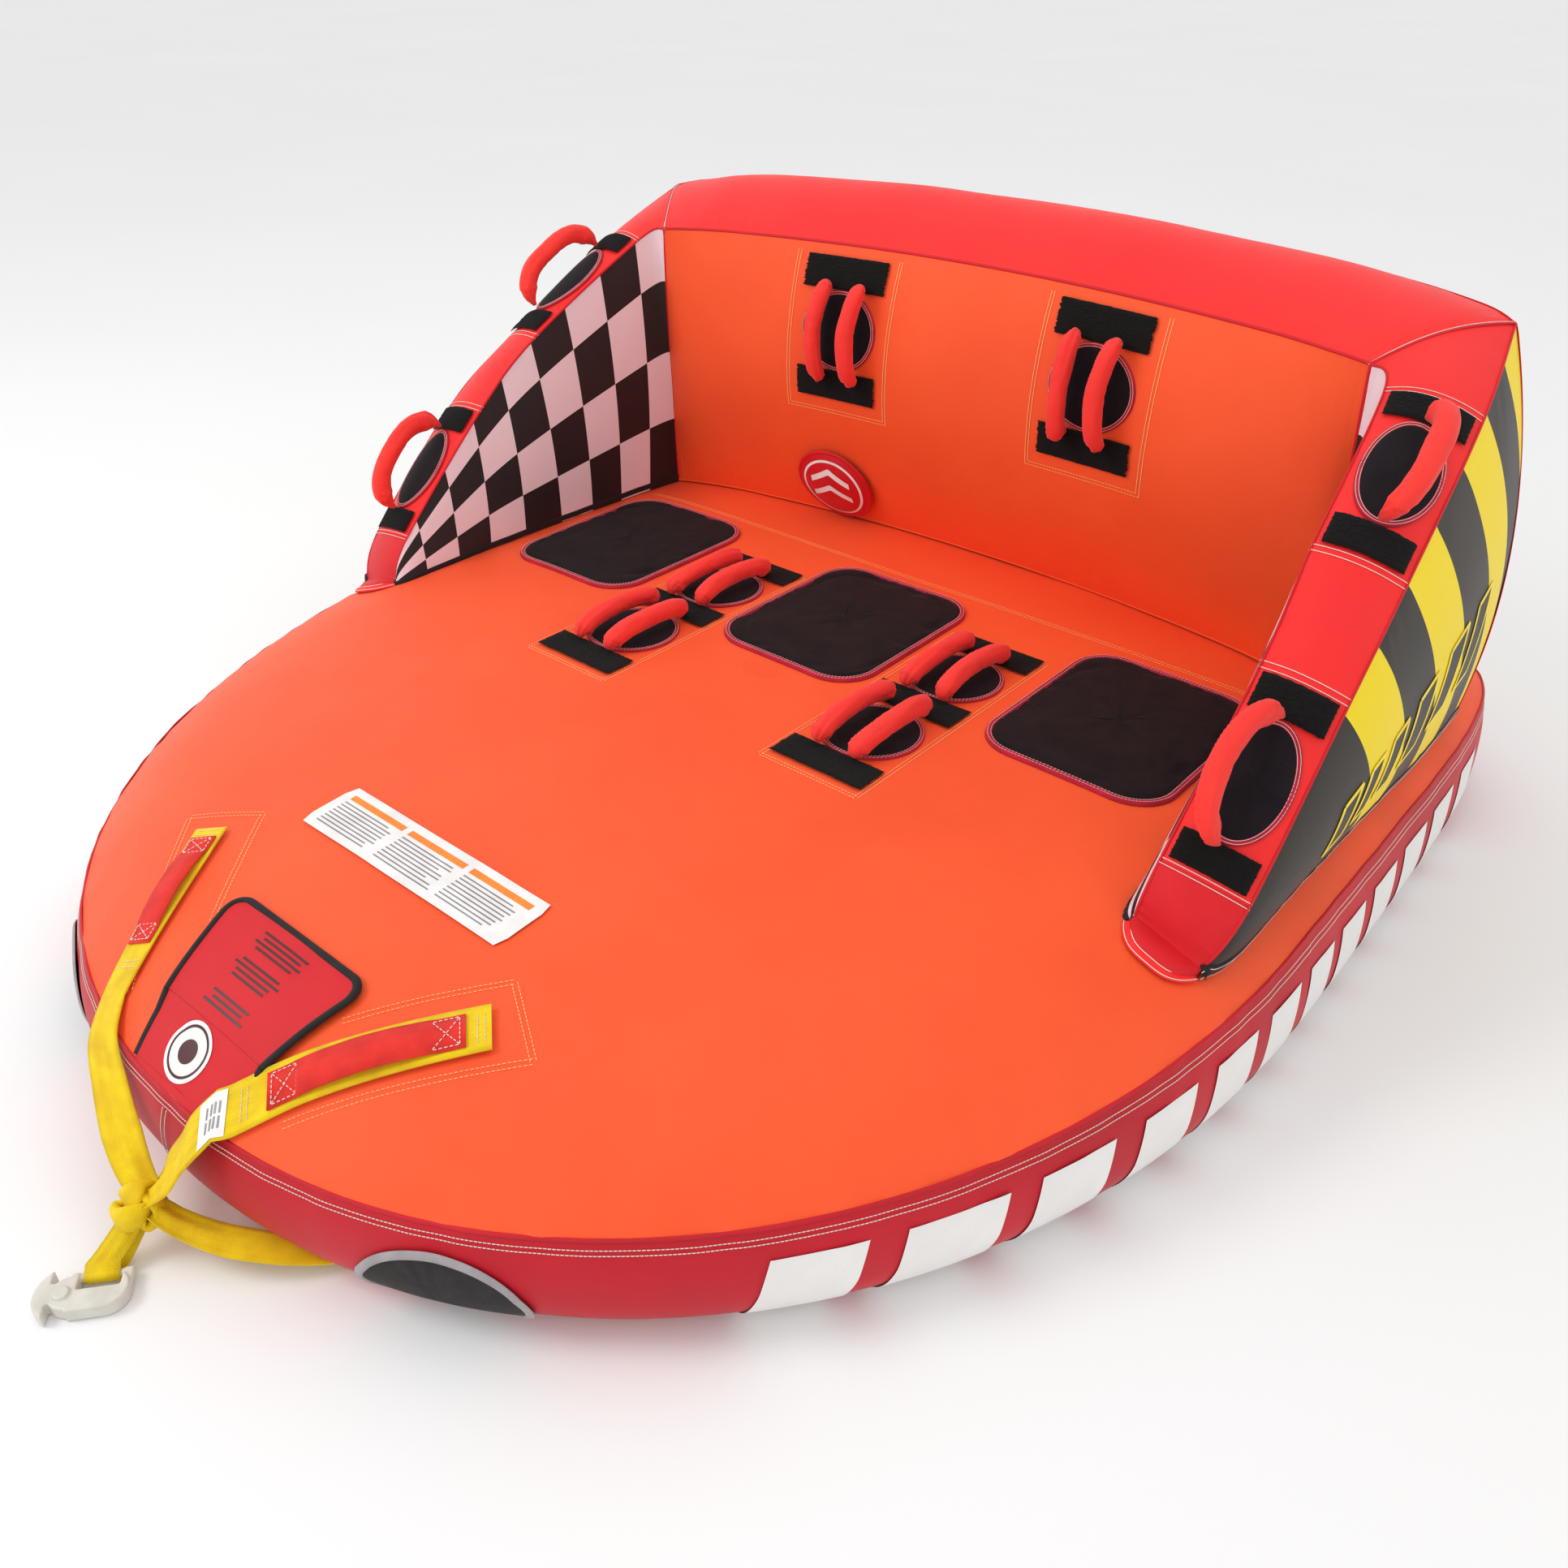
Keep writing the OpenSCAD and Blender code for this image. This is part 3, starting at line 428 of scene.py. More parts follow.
class Nodes:
    """A short way to write one material's node tree."""

    def __init__(self, name, rough, **fixed):
        self.mat = bpy.data.materials.new(name)
        self.mat.use_nodes = True
        self.tree = self.mat.node_tree
        self.bsdf = self.tree.nodes["Principled BSDF"]
        self.bsdf.inputs["Roughness"].default_value = rough
        for key, value in fixed.items():
            self.bsdf.inputs[key.replace("_", " ")].default_value = value
        self.coords = self.node("ShaderNodeTexCoord")

    def node(self, kind, inputs=(), **settings):
        made = self.tree.nodes.new(kind)
        for key, value in settings.items():
            setattr(made, key, value)
        for key, value in dict(inputs).items():
            if isinstance(value, bpy.types.NodeSocket):
                self.tree.links.new(value, made.inputs[key])
            else:
                made.inputs[key].default_value = value
        return made

    def at(self, source="UV", scale=(1, 1, 1), turn=0.0):
        return self.node("ShaderNodeMapping", {
            "Vector": self.coords.outputs[source], "Scale": scale, "Rotation": (0, 0, turn)}).outputs[0]

    def noise(self, vector, scale, detail=3.0):
        words = {"Vector": vector, "Scale": scale, "Detail": detail}
        return self.node("ShaderNodeTexNoise", words).outputs["Fac"]

    def wave(self, vector, scale, axis, shape="SIN"):
        return self.node("ShaderNodeTexWave", {"Vector": vector, "Scale": scale, "Distortion": 0.0},
                         bands_direction=axis, wave_profile=shape).outputs["Fac"]

    def math(self, op, a, b=0.0, c=0.0):
        return self.node("ShaderNodeMath", {0: a, 1: b, 2: c}, operation=op).outputs[0]

    def mix(self, fac, a, b):
        return self.node("ShaderNodeMix", {0: fac, 6: a, 7: b}, data_type="RGBA").outputs[2]

    def ramp(self, fac, low, high, to_low=0.0, to_high=1.0):
        return self.node("ShaderNodeMapRange", {0: fac, 1: low, 2: high, 3: to_low, 4: to_high}).outputs[0]

    def finish(self, color, height, rough_fac, rough=(0.4, 0.6), distance=0.0004, strength=0.6):
        link = self.tree.links.new
        link(color, self.bsdf.inputs["Base Color"])
        link(self.ramp(rough_fac, 0, 1, *rough), self.bsdf.inputs["Roughness"])
        bump = self.node("ShaderNodeBump", {"Height": height, "Distance": distance, "Strength": strength})
        link(bump.outputs[0], self.bsdf.inputs["Normal"])
        return self.mat


def shaded(n, color, dark, source, scale=3.0, amount=1.0):
    """Soft cloudy change from a colour to its darker version, with fine scuffs."""
    cloud = n.ramp(n.noise(n.at(source), scale, 4.0), 0.35, 0.7, 0.0, amount)
    scuff = n.ramp(n.noise(n.at(source), 160.0, 2.0), 0.62, 0.78, 0.0, 0.25)
    return n.mix(scuff, n.mix(cloud, color, dark), dark)


def woven(n, source, pitch):
    across = n.wave(n.at(source), 0.314 / pitch, "X")
    along = n.wave(n.at(source), 0.314 / pitch, "Y")
    third = n.wave(n.at(source), 0.314 / pitch, "Z")
    return n.math("ADD", n.math("MULTIPLY", across, along), n.math("MULTIPLY", third, 0.25))


def nylon(name, color, dark, source="UV", pitch=0.0011, rough=(0.40, 0.56), sheen=0.06,
          recolour=None, cloud=3.0):
    n = Nodes(name, 0.5, Sheen_Weight=sheen, Sheen_Roughness=0.4, Specular_IOR_Level=0.35)
    base = shaded(n, srgb(color), srgb(dark), source, cloud)
    if recolour:
        base = recolour(n, base)
    weave = woven(n, source, pitch)
    tint = n.ramp(weave, 0.0, 1.1, 0.0, 0.12)
    base = n.mix(tint, base, srgb(dark))
    creases = n.math("MULTIPLY", n.noise(n.at(source), 14.0, 5.0), 3.0)
    height = n.math("ADD", weave, creases)
    return n.finish(base, height, n.noise(n.at(source), 9.0), rough)


def checks(n, base):
    size = 0.100
    fac = n.node("ShaderNodeTexChecker", {"Vector": n.at("UV"), "Scale": 1 / size}).outputs["Fac"]
    return n.mix(fac, base, srgb("F2DCE2"))


STRIPE, STRIPE_TURN = 0.117, np.radians(28)


def hazard(n, base):
    """Slanting yellow and charcoal blocks by height and length along the wing."""
    parts = n.node("ShaderNodeSeparateXYZ", {0: n.coords.outputs["Object"]}).outputs
    along = n.math("ADD", n.math("MULTIPLY", parts[1], float(np.cos(STRIPE_TURN))),
                   n.math("MULTIPLY", parts[2], float(np.sin(STRIPE_TURN))))
    row = n.math("FRACT", n.math("MULTIPLY_ADD", along, 0.5 / STRIPE, 0.496))
    fac = n.math("GREATER_THAN", row, 0.5)
    front = n.math("GREATER_THAN", along, 0.40)
    return n.mix(n.math("MULTIPLY", fac, front), base, srgb("FFE100"))


def webbing(name, color, dark, pitch=0.0022):
    n = Nodes(name, 0.6, Sheen_Weight=0.05, Sheen_Roughness=0.5, Specular_IOR_Level=0.3)
    rib = n.wave(n.at("UV", turn=np.radians(38)), 0.314 / pitch, "X")
    rib2 = n.wave(n.at("UV", turn=np.radians(-38)), 0.314 / pitch, "X")
    half = n.math("GREATER_THAN", n.wave(n.at("UV"), 0.314 / 0.018, "X"), 0.5)
    height = n.node("ShaderNodeMix", {0: half, 2: rib, 3: rib2}, data_type="FLOAT").outputs[0]
    base = shaded(n, srgb(color), srgb(dark), "UV", 20.0, 0.7)
    base = n.mix(n.ramp(height, 0, 1, 0.28, 0.0), base, srgb(dark))
    return n.finish(base, height, n.noise(n.at("UV"), 40.0), (0.5, 0.75), 0.0006, 0.9)


def fuzzy(name, color, dark):
    n = Nodes(name, 0.9, Sheen_Weight=0.03, Sheen_Roughness=0.7, Specular_IOR_Level=0.10)
    grain = n.noise(n.at("UV"), 900.0, 3.0)
    clump = n.noise(n.at("UV"), 120.0, 4.0)
    base = n.mix(n.ramp(grain, 0.35, 0.7), srgb(dark), srgb(color))
    return n.finish(base, n.math("ADD", grain, clump), clump, (0.8, 1.0), 0.0012, 1.0)


def neoprene(name, color, dark):
    n = Nodes(name, 0.8, Sheen_Weight=0.03, Sheen_Roughness=0.6, Specular_IOR_Level=0.12)
    rib = n.wave(n.at("UV"), 0.314 / 0.0024, "DIAGONAL")
    base = shaded(n, srgb(color), srgb(dark), "UV", 18.0)
    base = n.mix(n.ramp(rib, 0.2, 1.0, 0.0, 0.3), base, srgb(dark))
    speck = n.ramp(n.noise(n.at("UV"), 420.0, 1.0), 0.74, 0.8, 0.0, 0.35)
    base = n.mix(speck, base, srgb("6B5F60"))
    grain = n.math("ADD", rib, n.noise(n.at("UV"), 60.0))
    return n.finish(base, grain, n.noise(n.at("UV"), 30.0), (0.65, 0.9))


def moulded(name, color, dark, rough=(0.3, 0.5), **fixed):
    n = Nodes(name, 0.4, **fixed)
    base = shaded(n, srgb(color), srgb(dark), "Object", 25.0, 0.6)
    grain = n.noise(n.at("Object"), 600.0, 2.0)
    return n.finish(base, grain, n.noise(n.at("Object"), 60.0), rough, 0.0002, 0.5)


def thread(name, color, dark):
    n = Nodes(name, 0.6, Sheen_Weight=0.2)
    twist = n.wave(n.at("Object"), 0.314 / 0.0008, "DIAGONAL")
    base = n.mix(n.noise(n.at("Object"), 200.0), srgb(color), srgb(dark))
    return n.finish(base, twist, n.noise(n.at("Object"), 90.0), (0.5, 0.8), 0.0002, 0.5)


M = {
    "orange": nylon("orange_nylon", "FF5A26", "F8521F", rough=(0.42, 0.6)),
    "red": nylon("red_nylon", "D80A1C", "C40214"),
    "band": nylon("band_nylon", "CC0420", "B80018"),
    "strip": nylon("strip_nylon", "FA2420", "F01A1C"),
    "toe": nylon("toe_nylon", "E2081A", "B80010"),
    "grip": nylon("grip_nylon", "FF3A30", "E22420", pitch=0.0014, rough=(0.6, 0.8), sheen=0.15),
    "black": nylon("black_nylon", "2A2626", "171515", source="Object"),
    "check": nylon("check_nylon", "231B1C", "171214", recolour=checks),
    "hazard": nylon("hazard_nylon", "3A332D", "2E2823", recolour=hazard),
    "rear": nylon("rear_nylon", "3A332D", "2A2521", recolour=hazard),
    "pad": neoprene("pad_neoprene", "1E1214", "120A0C"),
    "guard": neoprene("guard_neoprene", "1E161C", "100C10"),
    "pink": webbing("pink_binding", "D21A3C", "96102A", 0.0016),
    "dark": webbing("dark_binding", "241E1E", "0E0C0C", 0.0016),
    "grey": webbing("grey_binding", "B9B2B4", "8E8688", 0.0020),
    "bar": fuzzy("hook_and_loop", "1C1818", "060505"),
    "webbing": webbing("yellow_webbing", "FFDF00", "D8A800"),
    "sleeve": webbing("red_webbing", "FF3428", "CC1C18", 0.0016),
    "white_thread": thread("white_thread", "F4E6DC", "C9B5A8"),
    "gold_thread": thread("gold_thread", "FFD08A", "E8A058"),
    "hook": moulded("hook_plastic", "DCD9D0", "BDB9AE", Subsurface_Weight=0.15,
                     Subsurface_Radius=(0.004, 0.004, 0.003)),
    "valve": moulded("valve_plastic", "2C2A2A", "161515"),
    "metal": moulded("zip_metal", "B8B8BA", "77777A", Metallic=1.0),
    "label": moulded("label_vinyl", "F1EEEC", "DAD4D2", (0.35, 0.5)),
    "print_white": nylon("white_print", "F7F5F2", "DDD8D4", rough=(0.35, 0.5)),
    "print_grey": moulded("grey_print", "8E8A8C", "6E6A6C"),
    "print_orange": moulded("orange_print", "F58A1E", "D96F0C"),
    "print_yellow": moulded("yellow_print", "FFE100", "E2BE00"),
    "print_dark": moulded("dark_print", "4A0A10", "36060A"),
    "print_black": nylon("black_print", "332E2A", "26211E"),
    "chamber": moulded("chamber_vinyl", "A9A9A4", "8C8C88"),
}


# ---------- deck cover ----------

ROOT = "tube_cover"
AROUND = 720
full = np.linspace(0, 2 * np.pi, AROUND, endpoint=False)


def mesh_area(piece):
    return float(sum(p.area for p in piece.data.polygons))


def make_deck_top():
    fracs = 1 - np.linspace(0, 0.96, 70) ** 1.25
    P = np.stack([surf("deck", *rim_xy(full, min(f, 0.9995))) for f in fracs])
    closed = np.concatenate([P, P[:, :1]], 1)
    s = Shape()
    s.grid(P, closed[..., :2], wrap=True, flip=True)
    s.fan(P[-1], P[-1].mean(0))
    cover = s.make("deck_cover", [M["orange"]], ROOT, ["deck_top_panel"], "orange_nylon")
    area = mesh_area(cover)


BAND_G = np.radians(np.concatenate([np.linspace(40, 34, 6), np.linspace(31, -88, 34)]))


def make_band():
    P = np.stack([band_pt(full, g) for g in BAND_G])
    A, G = np.meshgrid(running(np.vstack([P[20], P[20][:1]])), running(P[:, 0]))
    s = Shape()
    s.grid(P, np.stack([A, G], -1), wrap=True)
    cover = s.make("band_cover", [M["band"]], ROOT, ["side_band"], "red_nylon")
    area = mesh_area(cover)


def make_rim_welt():
    s = Shape()
    path = band_pt(full, np.radians(40), 0.0005)
    normal = unit(np.stack([np.cos(full), np.sin(full), np.full(AROUND, 0.9)], -1))
    closed = np.vstack([path, path[:1]])
    side, up = path_frame(closed, np.vstack([normal, normal[:1]]))
    side[-1], up[-1] = side[0], up[0]
    sweep(s, closed, side, up, half_oval(0.006, 0.0022), caps=False)
    s.make("rim_welt", [M["band"]], ROOT)


def band_line(s, a0, a1, g0, g1, n=120, h=0.0006):
    a, g = np.linspace(a0, a1, n), np.radians(np.linspace(g0, g1, n))
    out = unit(band_pt(a, g, 0.02) - band_pt(a, g, 0))
    stitches(s, band_pt(a, g, h), out)


def deck_line(s, points, double, h=0.0006):
    """Two rows of stitches beside a line on the deck."""
    pts = resample(np.asarray(points, float), 0.02)
    ahead = unit(np.gradient(pts, axis=0))
    for k in (-double / 2, double / 2):
        moved = pts + np.stack([-ahead[:, 1], ahead[:, 0]], -1) * k
        P = surf("deck", moved[:, 0], moved[:, 1], h)
        stitches(s, P, np.broadcast_to(np.array([0.0, 0, 1]), P.shape))


def sew(line, name, colour="white_thread"):
    line.make(name, [M[colour]], ROOT, smooth=False)


def make_deck_stitches():
    s = Shape()
    for g in (34.5, 31.5):
        band_line(s, 0, 2 * np.pi, g, g, n=700)
    for shift in (-0.004, 0.004):
        band_line(s, -np.pi / 2 + shift, -np.pi / 2 + shift, 30, -80)
    sew(s, "rim_stitches")
    s = Shape()
    for side in (-1, 1):
        x, hx = side * STATION_X, BAR_X + 0.006
        y0, y1 = BAR_Y[0][0] - 0.018, BAR_Y[2][1] - 0.003
        loop = [(x - hx, y0), (x + hx, y0), (x + hx, y1), (x - hx, y1), (x - hx, y0)]
        for ends in zip(loop, loop[1:]):
            deck_line(s, ends, 0.007)
    deck_line(s, [(-0.80, 0.640), (0.80, 0.640)], 0.008)
    outer = [(-0.20, -1.06), (-0.428, -0.815), (-0.312, -0.746), (-0.235, -0.84), (-0.165, -0.93)]
    for m in (-1, 1):
        route = [(m * x, y) for x, y in outer]
        for ends in zip(route, route[1:]):
            deck_line(s, ends, 0.008)
    sew(s, "deck_stitches", "gold_thread")


def make_band_blocks():
    """Slanted white blocks printed along both sides of the band."""
    s = Shape()
    starts = (-52, -43.5, -34, -25, -17, -9.5, -2.5, 4, 11, 18, 24.5, 31)
    widths = (6.0, 7.0, 6.2, 5.6, 5.4, 5.0, 4.6, 5.0, 5.0, 4.8, 4.6, 4.0)
    lean, top, low = 2.6, 22.0, -62.0
    f, g = np.meshgrid(np.linspace(0, 1, 16), np.linspace(0, 1, 22))
    for a0, w in zip(starts, widths):
        ang = a0 + w * f + lean * (1 - g)
        P = band_pt(np.radians(ang), np.radians(low + (top - low) * (1 - g)), 0.0018)
        s.grid(P)
        s.grid(P * np.array([-1, 1, 1]), flip=True)
    s.make("band_print", [M["print_white"]], ROOT)


# ---------- wings and backrest ----------

SIDES = (("right", 1), ("left", -1))
BACK_PANELS = (("backrest_front", 0, "orange", "back_front_panel", "orange_nylon"),
               ("backrest_top", 1, "strip", "back_top_strip", "red_nylon"),
               ("backrest_rear", 2, "rear", "back_rear_panel", "charcoal_nylon"))
WING_PANELS = (("wing_face_", 0, "check", "wing_inner_", "check_nylon"),
               ("wing_top_", 1, "strip", "wing_strip_", "red_nylon"),
               ("wing_side_", 2, "hazard", "wing_outer_", "yellow_nylon"))


def make_skin(name, kind, v0, mat, replaced, slot, side=1, nv=34, nu=150):
    """One face of the backrest or of a wing, whose strip is darker at its toe."""
    last = len(ROWS[kind]) - 1
    v, u = np.meshgrid(np.linspace(v0, v0 + 1, nv), np.linspace(0, last, nu), indexing="ij")
    P = surf(kind, v, u, 0.0, side)
    s = Shape()
    s.grid(P, flip=side < 0)
    toed = kind == "wing" and v0 == 1
    piece = s.make(name, [M[mat], M["toe"]] if toed else [M[mat]], ROOT, [replaced], slot)
    if toed:
        ids = np.tile(np.arange(nu - 1), nv - 1) < (nu - 1) / last
        piece.data.polygons.foreach_set("material_index", ids.astype(np.int32))
    declare_sheet(piece, P)


def declare_sheet(piece, P):
    """Works out a sheet's figures on grid P: 99% of its own area, with its longest row and column as its flat
    size; nothing uses them.
    """
    area = mesh_area(piece) * 0.99
    width = float(np.linalg.norm(np.diff(P, axis=0), axis=-1).sum(0).max())
    length = float(np.linalg.norm(np.diff(P, axis=1), axis=-1).sum(1).max())
    width, length = round(max(width, area / length * 1.002), 3), round(length, 3)


def make_skins():
    for name, v0, mat, replaced, slot in BACK_PANELS:
        make_skin(name, "back", v0, mat, replaced, slot, nu=260)
    for end, side in SIDES:
        for name, v0, mat, replaced, slot in WING_PANELS:
            make_skin(name + end, "wing", v0, mat, replaced + end, slot, side)


def over_skin(kind, v, u, side):
    """A line on a skin, as a function of height."""
    v, u = np.broadcast_arrays(np.asarray(v, float), u)
    return lambda h: surf(kind, v, u, h, side)


def skin_line(s, kind, v, u, side=1, h=0.0006):
    at = over_skin(kind, v, u, side)
    stitches(s, at(h), unit(at(h + 0.01) - at(h)))


def skin_strip(s, kind, v, u, w, t, side=1, mat=0):
    """Flat binding along a line on a skin."""
    sweep(s, *framed(over_skin(kind, v, u, side), 0.0), half_oval(w, t), mat)


def above_base(u, dist):
    """Line along a wing's outer face at a distance above its base."""
    top, base = (skin_pt("wing", np.full(u.shape, v), u) for v in (2.0, 3.0))
    return 3 - np.minimum(0.7, dist / np.linalg.norm(top - base, axis=-1))


def make_wing_trim(line, bind, fine, side):
    for v in (1.0, 2.0):
        skin_strip(bind, "wing", v, fine * 5, 0.005, 0.0018, side)
    for k in (1, 2, 3, 4):
        for du in (-0.02, 0.02):
            skin_line(line, "wing", 1 + fine, k + du, side)
    base = 0.06 + 4.94 * fine
    skin_strip(bind, "wing", above_base(base, 0.013), base, 0.024, 0.0026, side, 1)
    skin_strip(bind, "wing", 0.02, base, 0.014, 0.0024, side, 1)
    for up_by in (0.006, 0.020):
        skin_line(line, "wing", above_base(base, up_by), base, side, 0.0028)


def make_skin_trim():
    line, bind, gold = Shape(), Shape(), Shape()
    fine = np.linspace(0, 1, 400)
    for side in (-1, 1):
        make_wing_trim(line, bind, fine, side)
    u = fine * 8
    for v in (1.0, 2.0):
        skin_strip(bind, "back", v, u, 0.006, 0.0020)
    for u_seam in (0.03, 0.09, 7.91, 7.97):
        skin_line(line, "back", 1 + fine, u_seam)
    for mid in BACK_STATIONS:
        for du in (0, 0.022):
            left, right, low = mid - 0.42 + du, mid + 0.42 - du, 0.445 + du * 0.5
            for edge in (left, right):
                skin_line(gold, "back", low + (0.97 - low) * fine, edge)
            skin_line(gold, "back", low, left + (right - left) * fine)
    skin_strip(bind, "back", 2.985, u, 0.026, 0.0030, 1, 1)
    skin_strip(bind, "back", 0.006, u, 0.005, 0.0018, 1, 2)
    for end in (7.99, 0.01):
        skin_strip(bind, "back", fine * 3, end, 0.006, 0.0018)
    sew(line, "cover_stitches")
    sew(gold, "station_stitches", "gold_thread")
    bind.make("cover_bindings", [M["red"], M["dark"], M["orange"]], ROOT)


def toe_pt(f, t, side, h=0.0):
    """Front of a wing: f across from the inner side, t from the strip's edge down to the deck."""
    f, t = np.broadcast_arrays(np.asarray(f, float), t)
    edge = surf("wing", 1 + f, 0.004, 0.0, 1)
    ends = skin_pt("wing", np.array([0.0, 2.999]), 0.0)
    foot = ends[0] + (ends[1] - ends[0]) * f[..., None]
    round_off = 1 - np.abs(2 * f - 1) ** 3.2
    foot[..., 1] -= 0.044 * round_off
    foot[..., 2] = deck_z(foot[..., 0], foot[..., 1]) + 0.002
    puff_out = 0.010 * np.sin(np.pi * t)[..., None] * round_off[..., None] * np.array([0.0, -0.6, 0.8])
    p = edge + (foot - edge) * t[..., None] + puff_out + np.array([0, -0.4, 0.9]) * h
    return p * np.array([side, 1, 1])


def make_toes():
    """Closes the front of each wing, with its bound base."""
    f, t = np.meshgrid(np.linspace(0, 1, 40), np.linspace(0, 1, 14))
    fine = np.linspace(0.004, 0.996, 200)
    bind, line, width = Shape(), Shape(), 0.016
    for name, side in SIDES:
        s = Shape()
        P = toe_pt(f, t, side)
        s.grid(P, flip=side > 0)
        declare_sheet(s.make("wing_toe_" + name, [M["toe"]], ROOT, slot="red_nylon"), P)
        pts, sd, up = framed(lambda h: toe_pt(fine, 0.84, side, h), 0.0004)
        sweep(bind, pts, sd, up, half_oval(width, 0.0022))
        for k in (-0.32, 0.32):
            stitches(line, pts + sd * width * k + up * 0.0020, up)
    bind.make("toe_bindings", [M["strip"]], ROOT)
    sew(line, "toe_stitches")


def make_wing_print():
    """Generic outlined bars low on the outer faces, where a print sits."""
    s = Shape()
    t = np.linspace(0, 1, 30)
    a, b = np.meshgrid(t, t)
    v0, v1, wide, slant = 2.46, 2.70, 0.24, 0.08
    for k in range(6):
        u0 = 1.95 + 0.40 * k
        corner = [(v1, u0 - slant), (v1, u0 + wide - slant), (v0, u0 + wide), (v0, u0)]
        for side in (-1, 1):
            face = surf("wing", v1 + (v0 - v1) * b, u0 + wide * a - slant * (1 - b), 0.0010, side)
            s.grid(face, mat=1, flip=side > 0)
            for p, q in zip(corner, corner[1:] + corner[:1]):
                line = over_skin("wing", p[0] + (q[0] - p[0]) * t, p[1] + (q[1] - p[1]) * t, side)
                sweep(s, *framed(line, 0.0012), flat_bar(0.009, 0.0008))
    s.make("wing_print", [M["print_yellow"], M["print_black"]], ROOT)


# ---------- padded pieces ----------

def puff(piece, pinned, cap, pressure=3.0, shrink=-0.04, frames=18):
    """Blows a closed piece up a little as cloth, so it wrinkles, with a cap on each point's move."""
    mesh = piece.data
    rest = np.empty(len(mesh.vertices) * 3)
    mesh.vertices.foreach_get("co", rest)
    rest = rest.reshape(-1, 3)
    group = piece.vertex_groups.new(name="pin")
    group.add([int(i) for i in np.flatnonzero(pinned)], 1.0, "REPLACE")
    mod = piece.modifiers.new("Cloth", "CLOTH")
    cloth = mod.settings
    cloth.vertex_group_mass = "pin"
    cloth.quality, cloth.mass = 5, 0.3
    cloth.use_pressure, cloth.uniform_pressure_force = True, pressure
    cloth.effector_weights.gravity = 0
    cloth.shrink_min = shrink
    cloth.bending_stiffness = 0.4
    mod.point_cache.frame_start, mod.point_cache.frame_end = 1, frames
    for f in range(1, frames + 1):
        scene.frame_set(f)
    made = piece.evaluated_get(bpy.context.evaluated_depsgraph_get())
    new = np.empty(rest.size)
    made.data.vertices.foreach_get("co", new)
    move = new.reshape(-1, 3) - rest
    far = np.linalg.norm(move, axis=-1, keepdims=True)
    move *= np.minimum(1, cap / np.maximum(far, 1e-9))
    piece.modifiers.remove(mod)
    piece.vertex_groups.remove(group)
    mesh.vertices.foreach_set("co", (rest + move).ravel())
    mesh.update()
    scene.frame_set(1)


def pad_mesh(name, kind, loop_fn, thick, crown, mat, replaced, side=1, rings=34, around=150):
    """Closed crowned pad over a loop on a surface."""
    s = Shape()
    loop = ring_of(loop_fn, around)
    f = 1 - np.linspace(0, 0.97, rings) ** 1.15
    rise = GAP + thick * np.minimum(1, (1 - f ** 6) * 2.2 + 0.25) + crown * (1 - f ** 2.5)
    top = np.stack([surf(kind, *scaled(loop, k).T, h, side) for k, h in zip(f, rise)])
    foot = surf(kind, *loop.T, GAP, side)
    s.grid(np.concatenate([foot[None], top]), wrap=True, flip=side > 0)
    s.fan(top[-1], top[-1].mean(0), flip=side < 0)
    s.fan(foot, surf(kind, *loop.mean(0), GAP, side), flip=side > 0)
    piece = s.make(name, [mat], ROOT, replaced, "black_neoprene")
    weld(piece)
    return piece


def weld(piece):
    b = bmesh.new()
    b.from_mesh(piece.data)
    bmesh.ops.remove_doubles(b, verts=b.verts, dist=1e-6)
    bmesh.ops.recalc_face_normals(b, faces=b.faces)
    b.to_mesh(piece.data)
    b.free()


def bound_edge(s, line, kind, loop_fn, width, height, side=1, n=180):
    """Binding round a pad, with two rows of fine stitches."""
    loop = loop_fn(np.linspace(0, 1, n + 1))
    pts, sd, up = framed(lambda h: surf(kind, *loop.T, h, side), GAP, closed=True)
    sweep(s, pts, sd, up, half_oval(width, height), caps=False)
    for k in (-0.22, 0.22):
        stitches(line, pts + sd * width * k + up * height * 0.9, up, thread=0.0007)


def make_pads():
    bind, line = Shape(), Shape()
    for k, x in enumerate((-RIDER_PITCH, 0.0, RIDER_PITCH)):
        pad, edge = (stadium(x, SEAT_Y, PAD_X - d, PAD_Y - d, PAD_R - d) for d in (0.004, 0.005))
        piece = pad_mesh(f"seat_pad_{k + 1}", "deck", pad, 0.0040, 0.0035, M["pad"],
                         () if k else ["seat_pads"])
        co = np.array([v.co[:] for v in piece.data.vertices])
        floor = deck_z(co[:, 0], co[:, 1]) + GAP + 0.0018
        puff(piece, co[:, 2] < floor, 0.003, 1.5, -0.02, 12)
        bound_edge(bind, line, "deck", edge, 0.014, 0.0065)
    bind.make("pad_edges", [M["pink"]], ROOT, ["pad_bindings"], "pink_binding")
    sew(line, "pad_stitches")


def guard_places():
    for x in (-STATION_X, STATION_X):
        for y in GUARD_Y:
            yield "deck", ellipse(x, y, GUARD_R - 0.004, GUARD_R - 0.004), 1
    for u in BACK_STATIONS:
        yield "back", ellipse(BACK_GUARD_V, u, BACK_GUARD[0] * 0.96, BACK_GUARD[1] * 0.96), 1
    for side in (-1, 1):
        for u in STRIP_GUARD_U:
            yield "wing", ellipse(1.5, u, STRIP_GUARD[0] * 0.96, STRIP_GUARD[1] * 0.96), side


def make_guards():
    bind, line = Shape(), Shape()
    for k, (kind, loop_fn, side) in enumerate(guard_places()):
        piece = pad_mesh(f"knuckle_guard_{k + 1}", kind, loop_fn, 0.0030, 0.0012, M["guard"],
                         () if k else ["knuckle_guards"], side, 18, 90)
        bound_edge(bind, line, kind, loop_fn, 0.011, 0.0036, side, 120)
    bind.make("guard_edges", [M["pink"]], ROOT, ["guard_bindings"], "pink_binding")
    sew(line, "guard_stitches")


